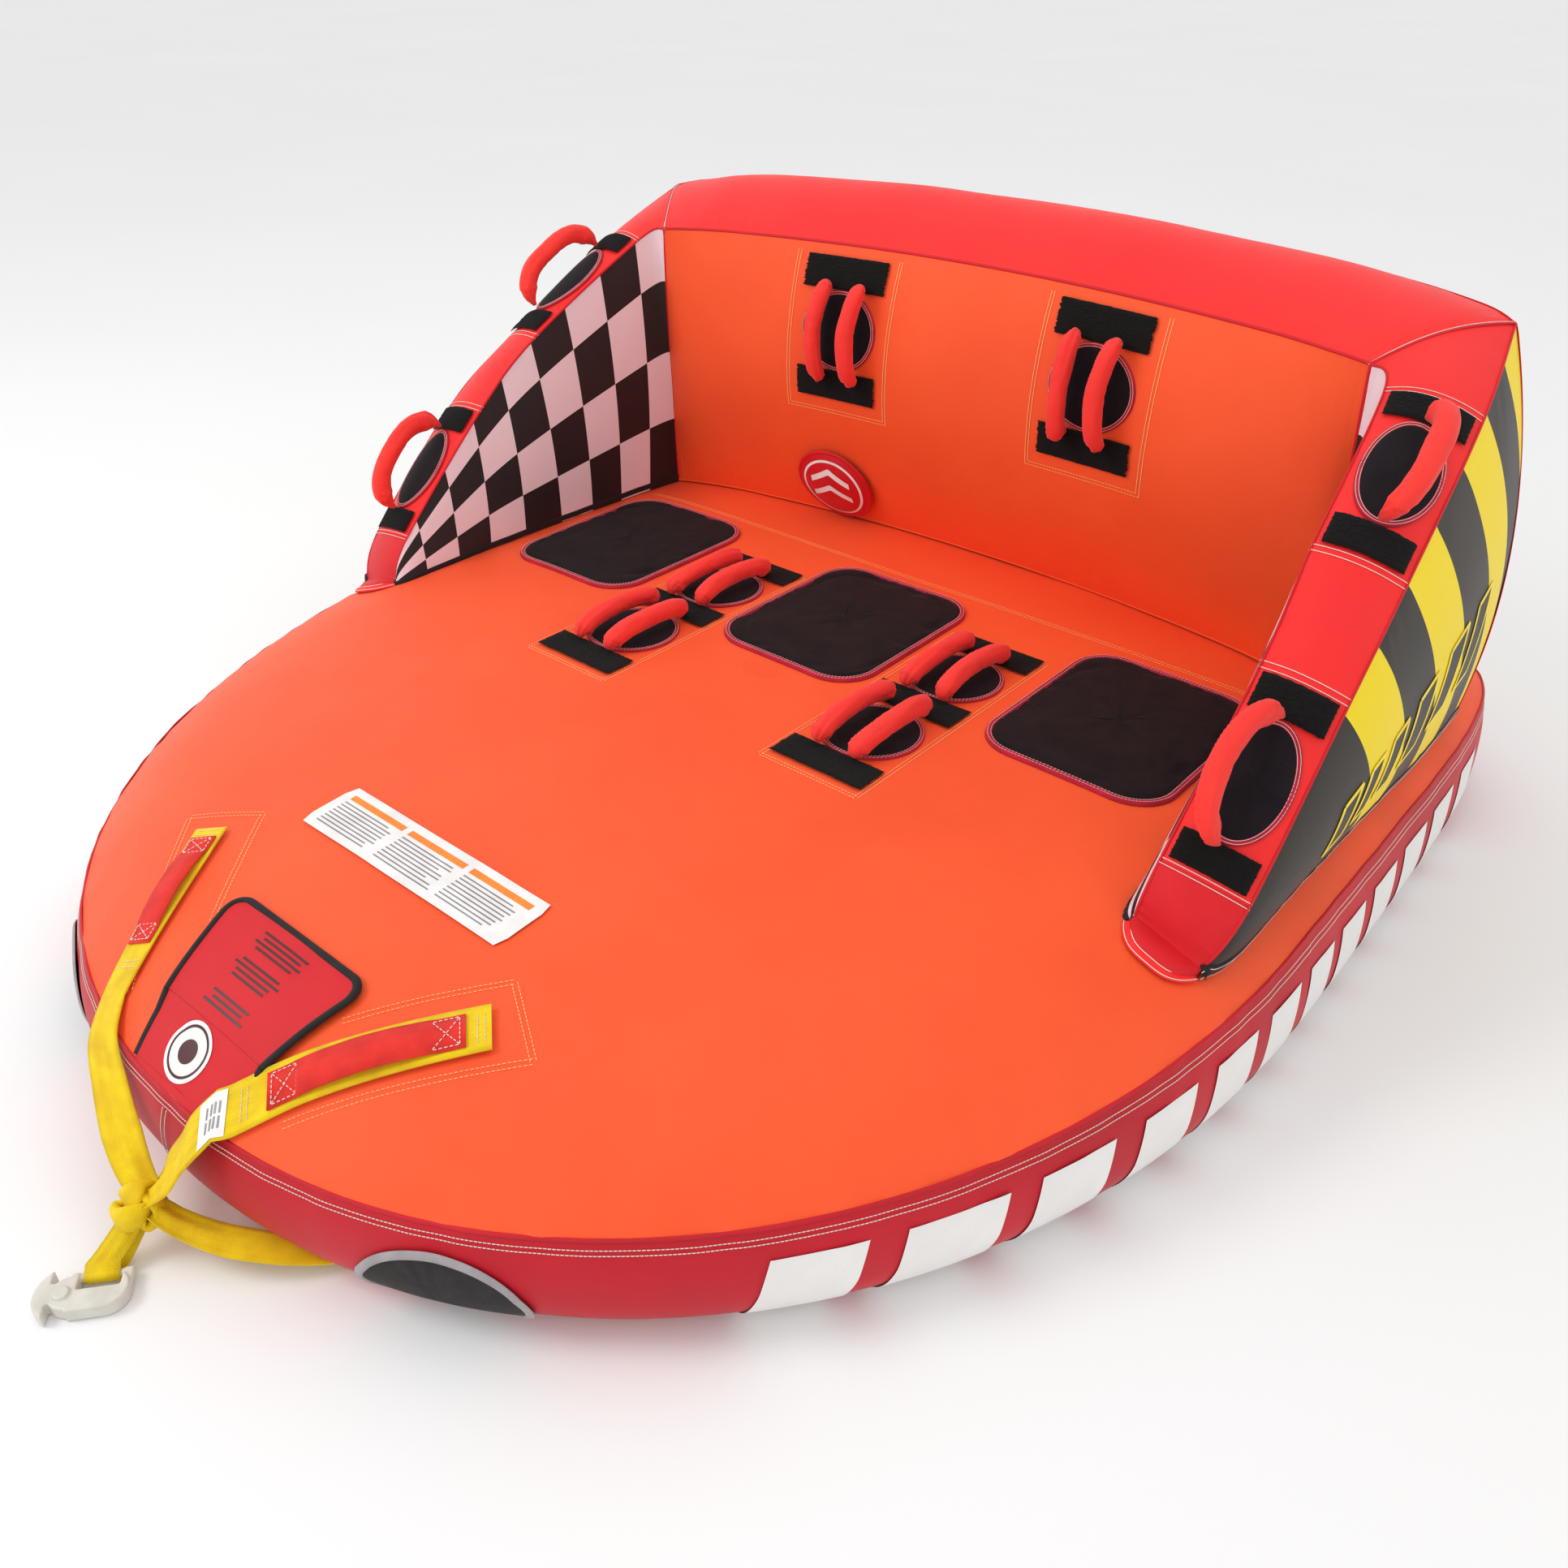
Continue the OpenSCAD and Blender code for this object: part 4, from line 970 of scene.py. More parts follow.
def border(P):
    """The outline of a grid, once round."""
    return np.concatenate([P[:, 0], P[-1, 1:], P[-2::-1, -1], P[0, -2:0:-1]])


def bar_places():
    for x in (-STATION_X, STATION_X):
        for y0, y1 in BAR_Y:
            yield "deck", x - BAR_X, x + BAR_X, y0, y1, 1
    for u in BACK_STATIONS:
        for v0, v1 in BACK_BARS_V:
            yield "back", v0, v1, u - BACK_U_HALF, u + BACK_U_HALF, 1
    for side in (-1, 1):
        for u0, u1 in STRIP_BARS_U:
            yield "wing", 1.08, 1.92, u0, u1, side


def make_bars():
    """Brushed hook-and-loop bars with ragged edges."""
    s = Shape()
    fa, fb = np.meshgrid(np.linspace(0, 1, 60), np.linspace(0, 1, 44), indexing="ij")
    edge = np.minimum(np.minimum(fa, 1 - fa) * 12, np.minimum(fb, 1 - fb) * 8).clip(0, 1)
    for k, (kind, a0, a1, b0, b1, side) in enumerate(bar_places()):
        rag = lambda q, seed: 0.006 * bumps(q * 34, k, seed=seed) + 0.004 * bumps(q * 90, k, seed=seed + 5)
        a = a0 + (a1 - a0) * (fa + rag(fb, 41) * (fa < 0.01) - rag(fb, 42) * (fa > 0.99))
        b = b0 + (b1 - b0) * (fb + 2 * rag(fa, 43) * (fb < 0.01) - 2 * rag(fa, 44) * (fb > 0.99))
        lint = 0.0009 * bumps(fa * 46, fb * 24, k, seed=45) + 0.0006 * bumps(fa * 110, fb * 60, k, seed=46)
        P = surf(kind, a, b, 0.0055 + 0.0022 * np.sqrt(edge) + lint * edge, side)
        s.grid(P, flip=side < 0)
        s.grid(np.stack([border(P), border(surf(kind, a, b, 0.0048, side))]), wrap=True)
    s.make("loop_bars", [M["bar"]], ROOT, ["webbing_bars"], "black_webbing")


# ---------- handles ----------

def grip_shape(length, rise, around=44, along=96, seed=0):
    """Padded handle on y, standing on z, with gathered flat ends."""
    t = -np.cos(np.linspace(0, np.pi, along))
    h = FOOT_H + (rise - FOOT_H) * np.sqrt(np.maximum(0, 1 - np.abs(t) ** 3))
    path = np.stack([0 * t, length / 2 * t, h], -1)
    ahead = unit(np.gradient(path, axis=0))
    side = unit(np.cross(ahead, np.array([0.0, 0, 1]) + 0 * ahead))
    side[0], side[-1] = side[1], side[-2]
    up = unit(np.cross(side, ahead))
    end = np.clip((1 - np.abs(t)) / 0.10, 0, 1)
    q = np.linspace(0, 2 * np.pi, around, endpoint=False)
    t = t[:, None]
    fold = bumps(np.cos(q) * 2.4 + 3, np.sin(q) * 2.4 + 5, t * 2.2, seed=60 + seed)
    gather = bumps(q[None] * 3.2 / np.pi * 2, 0.0, t * 1.5, seed=70 + seed)
    crease = bumps(q[None] / 1.6, t * length * 48, seed=80 + seed)
    near = np.exp(-(1 - np.abs(t)) / 0.16)
    seam = np.exp(-((np.cos(q) + 0.75) / 0.22) ** 2) * (np.sin(q) > 0)
    pucker = seam * (0.55 + 0.45 * np.sin(t * length * 420 + 2.5 * fold))
    r = GRIP_R * (1.05 + 0.070 * fold + 0.12 * gather * near + 0.050 * crease * (0.5 + near) - 0.10 * pucker)
    across = r * (0.38 + 0.62 * end[:, None] ** 0.5) * np.cos(q)
    thick = r * (0.20 + 0.80 * np.sqrt(end)[:, None]) * np.sin(q)
    return path[:, None] + side[:, None] * across[..., None] + up[:, None] * thick[..., None]


GRIP_KINDS = {
    "deck": (0.206, 0.040, 8),
    "back": (0.190, 0.046, 4),
    "wing": (0.206, 0.078, 4),
}
BACK_LEAN, WING_LEAN = np.radians((26, 26, 6, 12)), np.radians((-25, 15, 0, 0))
GRIP_BOWS = {"deck": (-5, 3, 4, -4, -3, 5, 2, -5), "back": (-16, -16, -3, -13), "wing": (-14, 8, 4, -3)}
ONE_GRIP = {}


def grip_points(kind, seed):
    """Simulates one handle of each kind and seed, once."""
    if (kind, seed) in ONE_GRIP:
        return ONE_GRIP[kind, seed]
    length, rise, _ = GRIP_KINDS[kind]
    P = grip_shape(length, rise, seed=seed)
    s = Shape()
    s.grid(P, wrap=True)
    mesh = s.make("grip_blank", [M["grip"]], ROOT)
    end = np.zeros(P.shape[:2], bool)
    end[:5] = end[-5:] = True
    puff(mesh, end.ravel(), 0.0022, 2.5, -0.07, 14)
    co = np.empty(P.size)
    mesh.data.vertices.foreach_get("co", co)
    bpy.data.objects.remove(mesh)
    ONE_GRIP[kind, seed] = co.reshape(P.shape)
    return ONE_GRIP[kind, seed]


def leant(up, out, angle):
    return up * np.cos(angle) + out * np.sin(angle)


def handle_place(kind, k):
    """Point on the cloth, direction, up and side of handle number k, as the design sets them."""
    if kind == "deck":
        x = (1 if k > 4 else -1) * STATION_X + (-DECK_PAIR if (k - 1) % 2 == 0 else DECK_PAIR)
        y = GUARD_Y[0 if (k - 1) % 4 < 2 else 1]
        return base_pt("deck", x, y), np.array([0, 1.0, 0]), np.array([0, 0, 1.0]), 1
    if kind == "back":
        v, u = BACK_GUARD_V, BACK_STATIONS[0 if k < 3 else 1] + (0.14 if k % 2 else -0.14)
        up = normal_at("back", v, u)
        ahead = unit(base_pt("back", v + 0.12, u) - base_pt("back", v - 0.12, u))
        return base_pt("back", v, u), ahead, leant(up, unit(np.cross(ahead, up)), BACK_LEAN[k - 1]), 1
    u = STRIP_GUARD_U[(k - 1) % 2]
    up = normal_at("wing", 1.5, u)
    ahead = unit(base_pt("wing", 1.5, u + 0.3) - base_pt("wing", 1.5, u - 0.3))
    square = unit(up - ahead * (up @ ahead))
    up = leant(square, np.cross(ahead, square), WING_LEAN[k - 1])
    return base_pt("wing", 1.5, u), ahead, up, -1 if k > 2 else 1


def make_handles():
    for kind, (length, _, count) in GRIP_KINDS.items():
        for k in range(1, count + 1):
            P = grip_points(kind, k % 2)
            if k % 3 == 0:
                P = P[::-1, ::-1] * np.array([1, -1, 1])
            at, ahead, up, side = handle_place(kind, k)
            bow = GRIP_BOWS[kind][k - 1] / 1000 * (1 - np.minimum(1, np.abs(P[..., 1:2]) / (length / 2)) ** 2)
            world = at + P[..., 1:2] * ahead + P[..., 2:] * up + (P[..., :1] + bow) * np.cross(ahead, up)
            world = world * np.array([side, 1, 1])
            s = Shape()
            s.grid(world, wrap=True, flip=side < 0)
            s.fan(world[0], world[0].mean(0), flip=side < 0)
            s.fan(world[-1], world[-1].mean(0), flip=side > 0)
            piece = s.make(f"grip_{kind}_{k}", [M["grip"]], f"{kind}_grip_{k}", [f"{kind}_handle_{k}"],
                           "handle_fabric")
            weld(piece)


# ---------- tow harness ----------

KNOT = np.array([0.044, -1.198, 0.078])
RIGHT_ROUTE = [(.349, -.817), (.300, -.875), (.245, -.940), (.190, -1.005), (.140, -1.065), (.104, -1.103)]
LEFT_ROUTE = [(-.349, -.817), (-.310, -.880), (-.272, -.950), (-.243, -1.015), (-.220, -1.078)]
RIGHT_DROP = [(.093, -1.138, .175), (.079, -1.160, .140), (.064, -1.182, .108)]
LEFT_DROP = [(-.176, -1.122, .178), (-.110, -1.152, .154), (-.050, -1.176, .124), (.002, -1.192, .098)]
UNDER_PATH = [(.290, -1.015, .010), (.262, -1.060, .014), (.228, -1.105, .028), (.190, -1.140, .040),
              (.158, -1.160, .044), (.124, -1.178, .052), (.092, -1.192, .062), (.066, -1.200, .072)]
RIGHT_W, LEFT_W, UNDER_W = 0.072, 0.056, 0.050


def level_side(path):
    d = np.gradient(path, axis=0)
    return unit(np.stack([d[:, 1], -d[:, 0], 0 * d[:, 0]], -1))


def smooth(points, n):
    """Catmull-Rom curve through points."""
    p = np.asarray(points, float)
    u = np.linspace(0, len(p) - 1, n)
    return row_at(p, u)


def laid(route, w, lift, n):
    """Route on the deck with the webbing's slope across its width."""
    flat = np.concatenate([smooth(route, n), np.zeros((n, 1))], 1)
    side = level_side(flat)
    f = np.linspace(-0.5, 0.5, 5)[:, None]
    under = surf("deck", flat[:, 0] + side[:, 0] * w * f, flat[:, 1] + side[:, 1] * w * f)[..., 2]
    slope = (under[-1] - under[0]) / w
    flat[:, 2] = (under - slope * f * w).max(0) + lift
    return flat, unit(side + np.stack([0 * slope, 0 * slope, slope], -1))


def strap_run(route, drop, w, n=60, m=40):
    path, side = laid(route, w, STRAP_LIFT, n)
    free = smooth([path[-1]] + list(drop) + [KNOT], m)
    aim = level_side(free)
    t = np.linspace(0, 1, m)[:, None]
    free_side = unit(side[-1] * (1 - t) + aim * t)
    return np.concatenate([path, free[1:]]), np.concatenate([side, free_side[1:]])


RUNS = {"right": strap_run(RIGHT_ROUTE, RIGHT_DROP, RIGHT_W),
        "left": strap_run(LEFT_ROUTE, LEFT_DROP, LEFT_W)}


def run_up(run):
    return unit(np.cross(run[1], np.gradient(run[0], axis=0)))


def narrowed(n, w, keep, tail):
    """Section of webbing for each point; it bunches up towards the knot over the last points."""
    f = np.clip((np.arange(n) - (n - tail)) / tail, 0, 1)[:, None, None]
    x = np.linspace(-0.5, 0.5, 9)
    top = np.stack([x, np.full(9, 1.0)], -1)[::-1]
    low = np.stack([x, np.zeros(9)], -1)
    base = np.concatenate([top, low])
    wide = base * np.array([w, WEB_T])
    fold = np.stack([base[:, 0] * w * keep, base[:, 1] * WEB_T + 0.006 * np.cos(base[:, 0] * np.pi * 3)], -1)
    return wide * (1 - f) + fold * f


def make_webbing(name, path, side, up, section, replaced, caps=True):
    s = Shape()
    sweep(s, path, side, up, section, caps=caps)
    s.make(name, [M["webbing"]], ROOT, [replaced], "yellow_webbing")


def make_straps():
    for name, w in (("right", RIGHT_W), ("left", LEFT_W)):
        path, side = RUNS[name]
        make_webbing("strap_" + name, path, side, run_up(RUNS[name]), narrowed(len(path), w, 0.66, 16),
                     "tow_strap_" + name)
    path = smooth(UNDER_PATH, 40)
    side = level_side(path)
    make_webbing("strap_under", path, side, run_up((path, side)), narrowed(40, UNDER_W, 0.7, 20),
                 "tow_strap_bottom")


def cross_box(line, run, k0, k1, w, off):
    """Box with a cross of stitches over part of a strap."""
    path, side, up = run[0], run[1], run_up(run)
    corner = [path[k] + side[k] * w * f + up[k] * off for k, f in ((k0, -.5), (k0, .5), (k1, .5), (k1, -.5))]
    for a, b in ((0, 1), (1, 2), (2, 3), (3, 0), (0, 2), (1, 3)):
        pts = np.linspace(corner[a], corner[b], 12)
        stitches(line, pts, np.broadcast_to(up[k0], pts.shape))


def make_sleeves():
    s, line = Shape(), Shape()
    k0, k1 = 6, 43
    part = slice(k0, k1 + 1)
    f = np.linspace(0, 1, k1 - k0 + 1)
    hump = 0.0045 + 0.0075 * np.clip(np.sin(np.pi * np.clip((f - 0.14) / 0.72, 0, 1)), 0, 1) ** 0.6
    for name, w in (("right", 0.052), ("left", 0.046)):
        run = RUNS[name]
        path, side, up = run[0], run[1], run_up(run)
        waves = 0.0006 * bumps(f * 14, 1.0 if name == "left" else 0.0, seed=90)
        sweep(s, path[part] + up[part] * (hump + waves)[:, None], side[part], up[part], flat_bar(w, 0.0022))
        for a, b in ((k0 + 1, k0 + 6), (k1 - 6, k1 - 1)):
            cross_box(line, run, a, b, w * 0.82, 0.0078)
        for a in (2, k1 + 5):
            pts = [path[a] + side[a] * w * q + up[a] * (WEB_T + 0.0004) for q in (-0.45, 0.45)]
            for shift in (0, 0.010):
                moved = np.linspace(*pts, 10) + unit(path[a + 1] - path[a]) * shift
                stitches(line, moved, np.broadcast_to(up[a], moved.shape))
    s.make("sleeves", [M["sleeve"]], ROOT, ["strap_sleeves"], "red_nylon")
    sew(line, "strap_stitches")


def make_knot():
    """Overhand knot of flattened webbing."""
    t = np.linspace(0, 2 * np.pi, 200, endpoint=False)
    tre = np.stack([np.sin(t) + 2 * np.sin(2 * t), np.cos(t) - 2 * np.cos(2 * t), -np.sin(3 * t)], -1)
    path = tre * np.array([0.0092, 0.0092, 0.014])
    turn = np.radians(35)
    path = np.stack([path[:, 0] * np.cos(turn) + path[:, 2] * np.sin(turn), path[:, 1],
                     path[:, 2] * np.cos(turn) - path[:, 0] * np.sin(turn)], -1)
    path = path + KNOT + np.array([-0.003, -0.014, -0.010])
    closed = np.vstack([path, path[:1]])
    side, up = path_frame(closed, unit(closed - path.mean(0)))
    side[-1], up[-1] = side[0], up[0]
    q = np.linspace(0, 2 * np.pi, 20, endpoint=False)
    crease = 1 + 0.10 * bumps(np.linspace(0, 26, 201)[:, None], np.cos(q) * 2 + 3, seed=97)
    section = np.stack([0.0210 * crease * np.cos(q), 0.0085 * crease * np.sin(q)], -1)
    section[-1] = section[0]
    make_webbing("knot", closed, side, up, section, "tow_knot", caps=False)


def hook_frame(p):
    c, s = np.cos(HOOK_TURN), np.sin(HOOK_TURN)
    return np.stack([p[:, 0] * c - p[:, 1] * s, p[:, 0] * s + p[:, 1] * c, p[:, 2]], -1) + HOOK_REAR


def make_loop():
    bar, r = np.array([-0.024, 0.012]), 0.0067
    q = np.radians(np.linspace(-96, 96, 25))
    ring = bar + r * np.stack([np.cos(q), np.sin(q)], -1)
    low = smooth([(-0.090, 0.060), (-0.084, 0.054), (-0.060, 0.026), (-0.042, 0.009),
                  tuple(ring[0])], 24)[:-1]
    high = smooth([tuple(ring[-1]), (-0.042, 0.027), (-0.060, 0.042), (-0.084, 0.064),
                   (-0.090, 0.070)], 24)[1:]
    prof = np.concatenate([low, ring, high])
    x = 0.040 - 0.9 * np.maximum(0, -0.036 - prof[:, 0])
    path = hook_frame(np.stack([x, prof[:, 0], prof[:, 1]], -1))
    side = np.broadcast_to(unit(hook_frame(np.array([[1.0, 0, 0]])) - HOOK_REAR), path.shape)
    w = 0.046 - 0.010 * np.clip((-0.036 - prof[:, 0]) / 0.05, 0, 1)
    base = flat_bar(1.0, 0.0022)
    section = np.stack([base[None, :, 0] * w[:, None], np.broadcast_to(base[:, 1], (len(w), len(base)))], -1)
    make_webbing("hook_loop", path, side, run_up((path, -side)), section, "tow_loop")


def rounded_copy(name, node, mat, body, slot, voxel=0.0013, rounds=14):
    """The CAD node's own shape, with moulded round edges."""
    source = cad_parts[node]
    piece = bpy.data.objects.new(name, source.data.copy())
    scene.collection.objects.link(piece)
    piece.data.materials.clear()
    piece.data.materials.append(mat)
    remesh = piece.modifiers.new("Remesh", "REMESH")
    remesh.mode, remesh.voxel_size = "VOXEL", voxel
    soft = piece.modifiers.new("Smooth", "SMOOTH")
    soft.factor, soft.iterations = 0.5, rounds
    made = piece.evaluated_get(bpy.context.evaluated_depsgraph_get())
    mesh = bpy.data.meshes.new_from_object(made)
    piece.modifiers.clear()
    piece.data = mesh
    mesh.polygons.foreach_set("use_smooth", np.ones(len(mesh.polygons), bool))
    return place(piece, body, [node], slot)


FLAP_HALF, FLAP_REAR, FLAP_HINGE_Y, FLAP_HINGE_HALF = 0.161, -0.880, -1.034, 0.122
FLAP_FRONT_Y, FLAP_FRONT_HALF, FLAP_R, FLAP_LIFT = -1.108, 0.104, 0.034, 0.009


def flap_half_at(y):
    """Half width of the flap at a distance along it."""
    side = np.interp(y, [FLAP_FRONT_Y, FLAP_HINGE_Y, FLAP_REAR],
                     [FLAP_FRONT_HALF, FLAP_HINGE_HALF, FLAP_HALF])
    into = np.clip(y - (FLAP_REAR - FLAP_R), 0, FLAP_R)
    return side - FLAP_R + np.sqrt(np.maximum(0, FLAP_R ** 2 - into ** 2))


def flap_pt(f, y, h):
    """Flap point: f from -1 to 1 across, with soft waves."""
    x = f * flap_half_at(y)
    wave = 0.0014 * bumps(x / 0.07, y / 0.06, seed=101)
    return np.stack([x, y + 0 * x, deck_z(x, y) + h + wave], -1)


def root_lift(y):
    """Height of the flap's sewn root, which dips under the straps towards the nose."""
    return np.interp(y, [FLAP_FRONT_Y, FLAP_HINGE_Y - 0.022, FLAP_HINGE_Y],
                     [0.0015, 0.0030, FLAP_LIFT + 0.002])


def make_flap():
    """The lifting flap, its edge, its sewn root and the print on both."""
    f, y = np.meshgrid(np.linspace(-1, 1, 50), np.linspace(FLAP_HINGE_Y, FLAP_REAR, 50))
    s = Shape()
    s.grid(flap_pt(f, y, FLAP_LIFT + 0.003))
    s.grid(flap_pt(f, y, FLAP_LIFT), flip=True)
    flap = s.make("nose_flap", [M["red"]], "nose_flap", ["tow_flap"], "red_nylon")
    t = np.linspace(0, 1, 70)
    edge_y = FLAP_HINGE_Y + (FLAP_REAR - FLAP_HINGE_Y) * np.sin(t * np.pi / 2)
    right = flap_pt(np.ones(70), edge_y, FLAP_LIFT + 0.0006)
    left = flap_pt(-np.ones(70), edge_y[::-1], FLAP_LIFT + 0.0006)
    round_it = resample(np.concatenate([right, left]), 0.004)
    b = Shape()
    normal = np.broadcast_to(np.array([0.0, 0.25, 1.0]), round_it.shape)
    sweep(b, round_it, *path_frame(round_it, normal), half_oval(0.013, 0.0052))
    b.make("flap_edge", [M["dark"]], "nose_flap", ["flap_binding"], "black_binding")
    make_flap_root()
    make_flap_print()


def make_flap_root():
    f, y = np.meshgrid(np.linspace(-1, 1, 40), np.linspace(FLAP_FRONT_Y, FLAP_HINGE_Y, 30))
    s = Shape()
    s.grid(flap_pt(f * 0.999, y, root_lift(y)))
    f, k = np.meshgrid(np.linspace(-1, 1, 40), np.linspace(0, 1, 8))
    x = f * FLAP_FRONT_HALF
    rim_y = DECK_CY - FRONT_LEN * 0.9995 * (1 - (np.abs(x) / DECK_HALF_W) ** FRONT_EXP) ** (1 / FRONT_EXP)
    y = rim_y + (FLAP_FRONT_Y - rim_y) * k
    s.grid(np.stack([x, y, deck_z(x, y) + 0.0016 + deck_wrinkle(x, y)], -1))
    s.make("flap_base", [M["red"]], ROOT, ["flap_root"], "red_nylon")
    edge = Shape()
    ys = np.linspace(FLAP_FRONT_Y, FLAP_HINGE_Y, 30)
    low = np.interp(ys, [FLAP_FRONT_Y, FLAP_HINGE_Y - 0.02, FLAP_HINGE_Y], [0.4, 0.6, 1.0])[:, None, None]
    for m in (-1, 1):
        pts = flap_pt(np.full(30, float(m)), ys, root_lift(ys) - 0.0015)
        normal = np.broadcast_to(np.array([0.0, 0.3, 1.0]), pts.shape)
        section = half_oval(0.013, 0.0050) * np.concatenate([low ** 0, low], -1)
        sweep(edge, pts, *path_frame(pts, normal), section)
    edge.make("flap_base_edge", [M["dark"]], ROOT, slot="black_binding")


def flap_disc(s, grow, h, mat, inner=0.0):
    """Printed oval or ring on the flap's base; grow is its half length and half height."""
    q, r = np.meshgrid(np.linspace(0, 2 * np.pi, 60), np.linspace(inner, 1, 8))
    x, y = -0.012 + grow[0] * r * np.cos(q), -1.072 + grow[1] * r * np.sin(q)
    wave = 0.0014 * bumps(x / 0.07, y / 0.06, seed=101)
    s.grid(np.stack([x, y, deck_z(x, y) + root_lift(y) + h + wave], -1), mat=mat, flip=True)


def make_flap_print():
    s = Shape()
    flap_disc(s, (0.044, 0.034), 0.0012, 0)
    flap_disc(s, (0.038, 0.0295), 0.0016, 1, inner=0.90)
    flap_disc(s, (0.018, 0.014), 0.0016, 1)
    s.make("flap_emblem", [M["print_white"], M["print_dark"]], ROOT)
    rows = Shape()
    for block in range(3):
        for k in range(4 if block else 3):
            y0 = -1.018 + 0.044 * block + 0.0080 * k
            half = 0.036 + 0.024 * hashed(np.array([k, block, 3]), 5)
            x, y = np.meshgrid(np.linspace(-half, half, 16), [y0, y0 + 0.0036])
            rows.grid(flap_pt(x / flap_half_at(y), y, FLAP_LIFT + 0.0036))
    rows.make("flap_rows", [M["print_dark"]], "nose_flap")


# ---------- labels, valves, drains, zipper ----------

def printed(s, x0, x1, y0, y1, mat, ny=4):
    x, y = np.meshgrid(np.linspace(x0, x1, 12), np.linspace(y0, y1, ny))
    s.grid(surf("deck", x, y, 0.0034), mat=mat)


def make_label():
    half, y0, y1, cut = 0.242, -0.720, -0.612, 0.006
    x, y = np.meshgrid(np.linspace(-1, 1, 60), np.linspace(0, 1, 16))
    trim = cut * np.maximum(np.maximum(0, 0.2 - y), np.maximum(0, y - 0.8)) / 0.2
    s = Shape()
    s.grid(surf("deck", x * (half - trim), y0 + (y1 - y0) * y, 0.0030))
    label = s.make("deck_label", [M["label"]], ROOT, ["safety_label"], "label_vinyl")
    s, wide = Shape(), 0.138
    for panel in range(3):
        a = -0.222 + panel * 0.152
        printed(s, a, a + wide, -0.640, -0.628, 1)
        for k in range(8):
            short = wide - 0.030 * hashed(np.array([k, panel, 1]), 9)
            printed(s, a, a + short, -0.6500 - 0.0078 * k, -0.6475 - 0.0078 * k, 0, 2)
    s.make("label_print", [M["print_grey"], M["print_orange"]], ROOT)


def make_care_label():
    run = RUNS["right"]
    path, side, up = run[0], run[1], run_up(run)
    part = slice(54, 66)
    s = Shape()
    wide = np.linspace(-0.5, 0.5, 9)[:, None, None]
    P = path[part] + side[part] * 0.064 * wide + up[part] * (WEB_T + 0.0012)
    s.grid(P.transpose(1, 0, 2))
    s.make("strap_label", [M["label"]], ROOT, ["care_label"], "label_vinyl")
    s = Shape()
    for k in range(56, 64, 2):
        for f in (-0.3, 0.02):
            a = path[k] + up[k] * (WEB_T + 0.0018)
            row = np.array([a + side[k] * 0.064 * q for q in (f, f + 0.26)])
            s.grid(np.stack([row, row + unit(path[k + 1] - path[k]) * 0.003]))
    s.make("strap_label_print", [M["print_grey"]], ROOT)


def make_badge():
    """Round cover over the backrest's valve, with a generic ring and chevron."""
    centre_v, rv, ru, foot = VALVE_V + 0.012, 0.130, 0.30, 0.012
    dome = lambda f: foot + 0.003 + 0.020 * (1 - f ** 2)
    outline = ellipse(centre_v, VALVE_U, rv, ru)
    loop = ring_of(outline, 90)

    def ring(f, extra=0.0):
        return surf("back", *scaled(loop, f).T, dome(f) + extra)

    s = Shape()
    fs = 1 - np.linspace(0, 0.97, 22)
    s.grid(np.stack([surf("back", *loop.T, foot)] + [ring(f) for f in fs]), wrap=True, flip=True)
    s.fan(ring(fs[-1]), ring(fs[-1]).mean(0))
    cover = s.make("valve_badge", [M["red"]], "valve_cover", ["valve_flap"], "red_nylon")
    weld(cover)
    s = Shape()
    s.grid(np.stack([ring(f, 0.0008) for f in (0.84, 0.81, 0.78)]), wrap=True, flip=True)
    q = np.linspace(-1, 1, 24)
    for k in (0.30, -0.14):
        up_line = np.stack([centre_v + rv * (k + 0.34 * (1 - np.abs(q))), VALVE_U + ru * 0.55 * q], -1)
        P = []
        for line in (up_line, up_line - np.array([rv * 0.16, 0])):
            f = np.hypot((line[:, 0] - centre_v) / rv, (line[:, 1] - VALVE_U) / ru)
            P.append(surf("back", line[:, 0], line[:, 1], dome(f) + 0.0012))
        s.grid(np.stack(P), flip=True)
    s.make("badge_print", [M["print_white"]], "valve_cover")
    s = Shape()
    edge = outline(np.linspace(0, 1, 160))
    sweep(s, *framed(lambda h: surf("back", *edge.T, h), foot, closed=True),
          half_oval(0.010, 0.005), caps=False)
    s.make("badge_edge", [M["toe"]], "valve_cover")


def make_drains():
    s, edge = Shape(), Shape()
    q = np.linspace(0, 2 * np.pi, 90, endpoint=False)
    closed = np.linspace(0, 2 * np.pi, 140)

    def at(mid, f, h, q):
        return band_pt(np.radians(mid + 5.4 * f * np.cos(q)), np.radians(-16 + 38 * f * np.sin(q)), h)

    for side in (-1, 1):
        mid = -90 + side * 21.5
        rows = [at(mid, 1.0, 0.0030, q)]
        rows += [at(mid, f, 0.0045 + 0.0015 * (1 - f), q) for f in np.linspace(0.99, 0.03, 12)]
        s.grid(np.stack(rows), wrap=True, flip=True)
        s.fan(rows[-1], rows[-1].mean(0))
        sweep(edge, *framed(lambda h: at(mid, 0.97, h, closed), 0.0040, closed=True),
              half_oval(0.013, 0.0030), caps=False)
    s.make("drains", [M["dark"]], ROOT, ["drain_patches"], "black_binding")
    edge.make("drain_edges", [M["grey"]], ROOT, slot="label_vinyl")


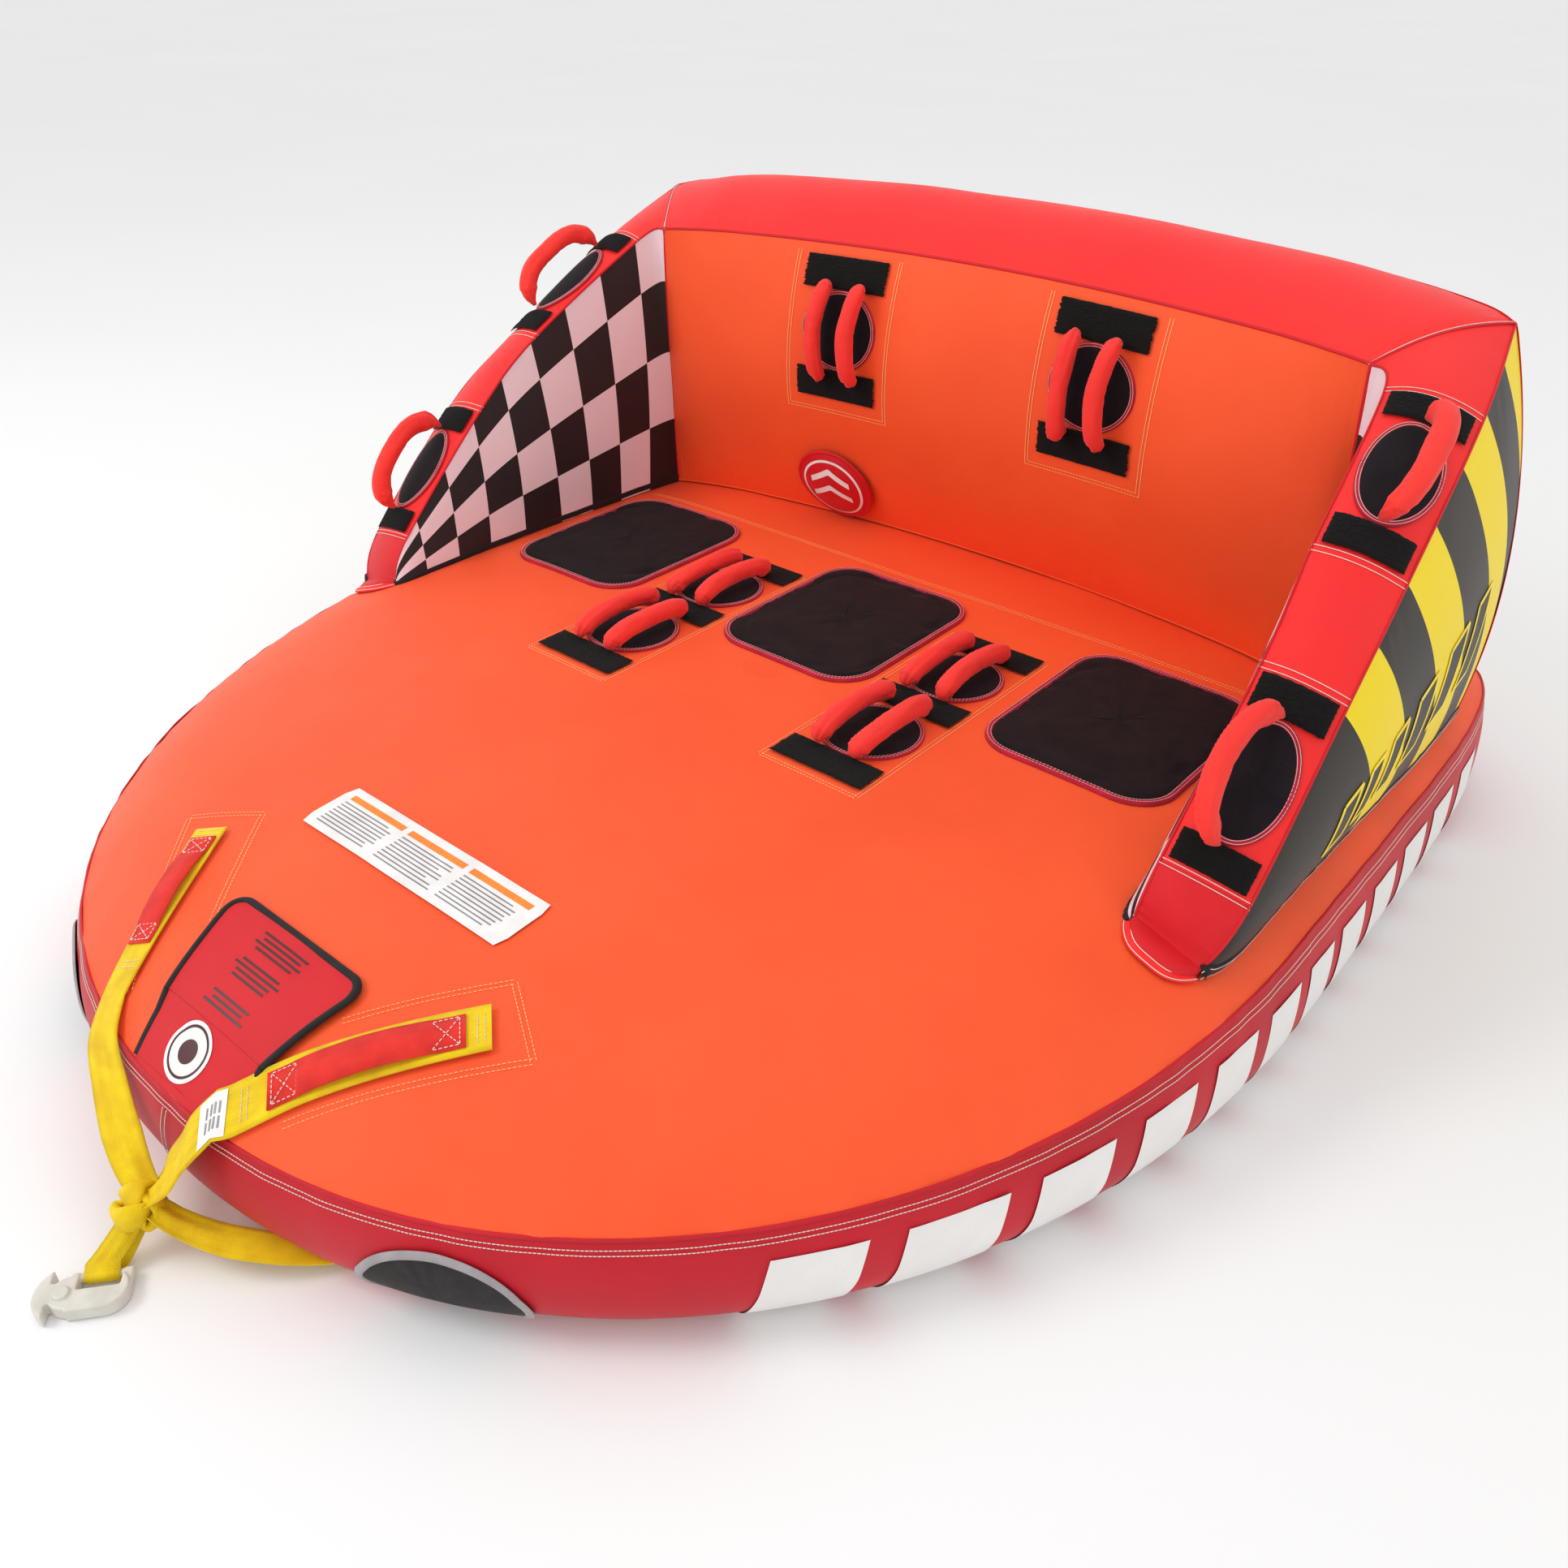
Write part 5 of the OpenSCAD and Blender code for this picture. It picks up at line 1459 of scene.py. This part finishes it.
def make_zipper():
    half, ang = 0.560, 4
    x = np.linspace(-half, half, 200)
    a = np.arctan2(REAR_LEN, x)
    s = Shape()
    P = np.stack([band_pt(a, np.radians(g), 0.0042) for g in np.linspace(ang + 9, ang - 9, 9)])
    P[..., 0] = x
    s.grid(P, flip=True)
    s.make("zip_tape", [M["dark"]], ROOT, ["zipper_tape"], "zipper_tape")
    teeth = Shape()
    mid = resample(P[4], 0.0046)
    for k, shift in ((0, 0.0016), (1, -0.0016)):
        pts = mid[k::2] + np.array([0, 0.0002, shift])
        add_boxes(teeth, pts[:, None] + BOX * np.array([0.0014, 0.0012, 0.0026]))
    teeth.make("zip_teeth", [M["valve"]], ROOT, smooth=False)


def dress_nodes():
    """Materials for the CAD nodes that stay."""
    looks = {"bottom_panel": "black", "back_valve_body": "valve", "back_valve_cap": "valve",
             "deck_valve_body": "valve", "deck_valve_cap": "valve", "zipper_slider": "metal"}
    looks.update({n: "chamber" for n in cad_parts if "bladder" in n})
    for node, mat in looks.items():
        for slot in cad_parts[node].material_slots:
            slot.material = M[mat]


# ---------- stage ----------

def make_stage():
    mesh = bpy.data.meshes.new("floor")
    far, below = 30.0, -0.001
    mesh.from_pydata([(x * far, y * far, below) for x, y in ((-1, -1), (1, -1), (1, 1), (-1, 1))], [],
                     [(0, 1, 2, 3)])
    n = Nodes("floor_paper", 0.7, Specular_IOR_Level=0.1)
    grain, cloud, broad = (n.noise(n.at("Object"), scale) for scale in (300.0, 2.0, 0.6))
    base = n.mix(broad, (0.86, 0.86, 0.86, 1), (0.90, 0.90, 0.90, 1))
    mesh.materials.append(n.finish(base, grain, cloud, (0.6, 0.8), 0.0001, 0.2))
    floor = bpy.data.objects.new("floor", mesh)
    scene.collection.objects.link(floor)
    world = bpy.data.worlds.new("studio")
    world.use_nodes = True
    inputs = world.node_tree.nodes["Background"].inputs
    inputs[0].default_value, inputs[1].default_value = (1.0, 1.0, 1.0, 1), 0.92
    scene.world = world


def area_light(name, at, target, size, power, color=(1, 1, 1)):
    lamp = bpy.data.lights.new(name, "AREA")
    lamp.shape, lamp.size, lamp.energy, lamp.color = "DISK", size, power, color
    obj = bpy.data.objects.new(name, lamp)
    scene.collection.objects.link(obj)
    obj.location = at
    obj.rotation_euler = (Vector(target) - Vector(at)).to_track_quat("-Z", "Y").to_euler()


def make_lights():
    area_light("key", (-2.6, -3.6, 4.2), (0, 0, 0.3), 2.4, 95)
    area_light("fill", (4.2, -1.6, 3.0), (0.4, 0.2, 0.3), 3.0, 8)
    area_light("top", (0.0, 1.0, 5.0), (0, 0.2, 0.3), 3.5, 16)


make_stage()
make_lights()
make_deck_top()
make_band()
make_rim_welt()
make_deck_stitches()
make_band_blocks()
make_skins()
make_skin_trim()
make_toes()
make_wing_print()
make_pads()
make_guards()
make_bars()
make_handles()
make_straps()
make_sleeves()
make_knot()
make_loop()
rounded_copy("hook_body", "tow_hook", M["hook"], "hook", "hook_plastic")
make_flap()
make_label()
make_care_label()
make_badge()
make_drains()
make_zipper()
dress_nodes()
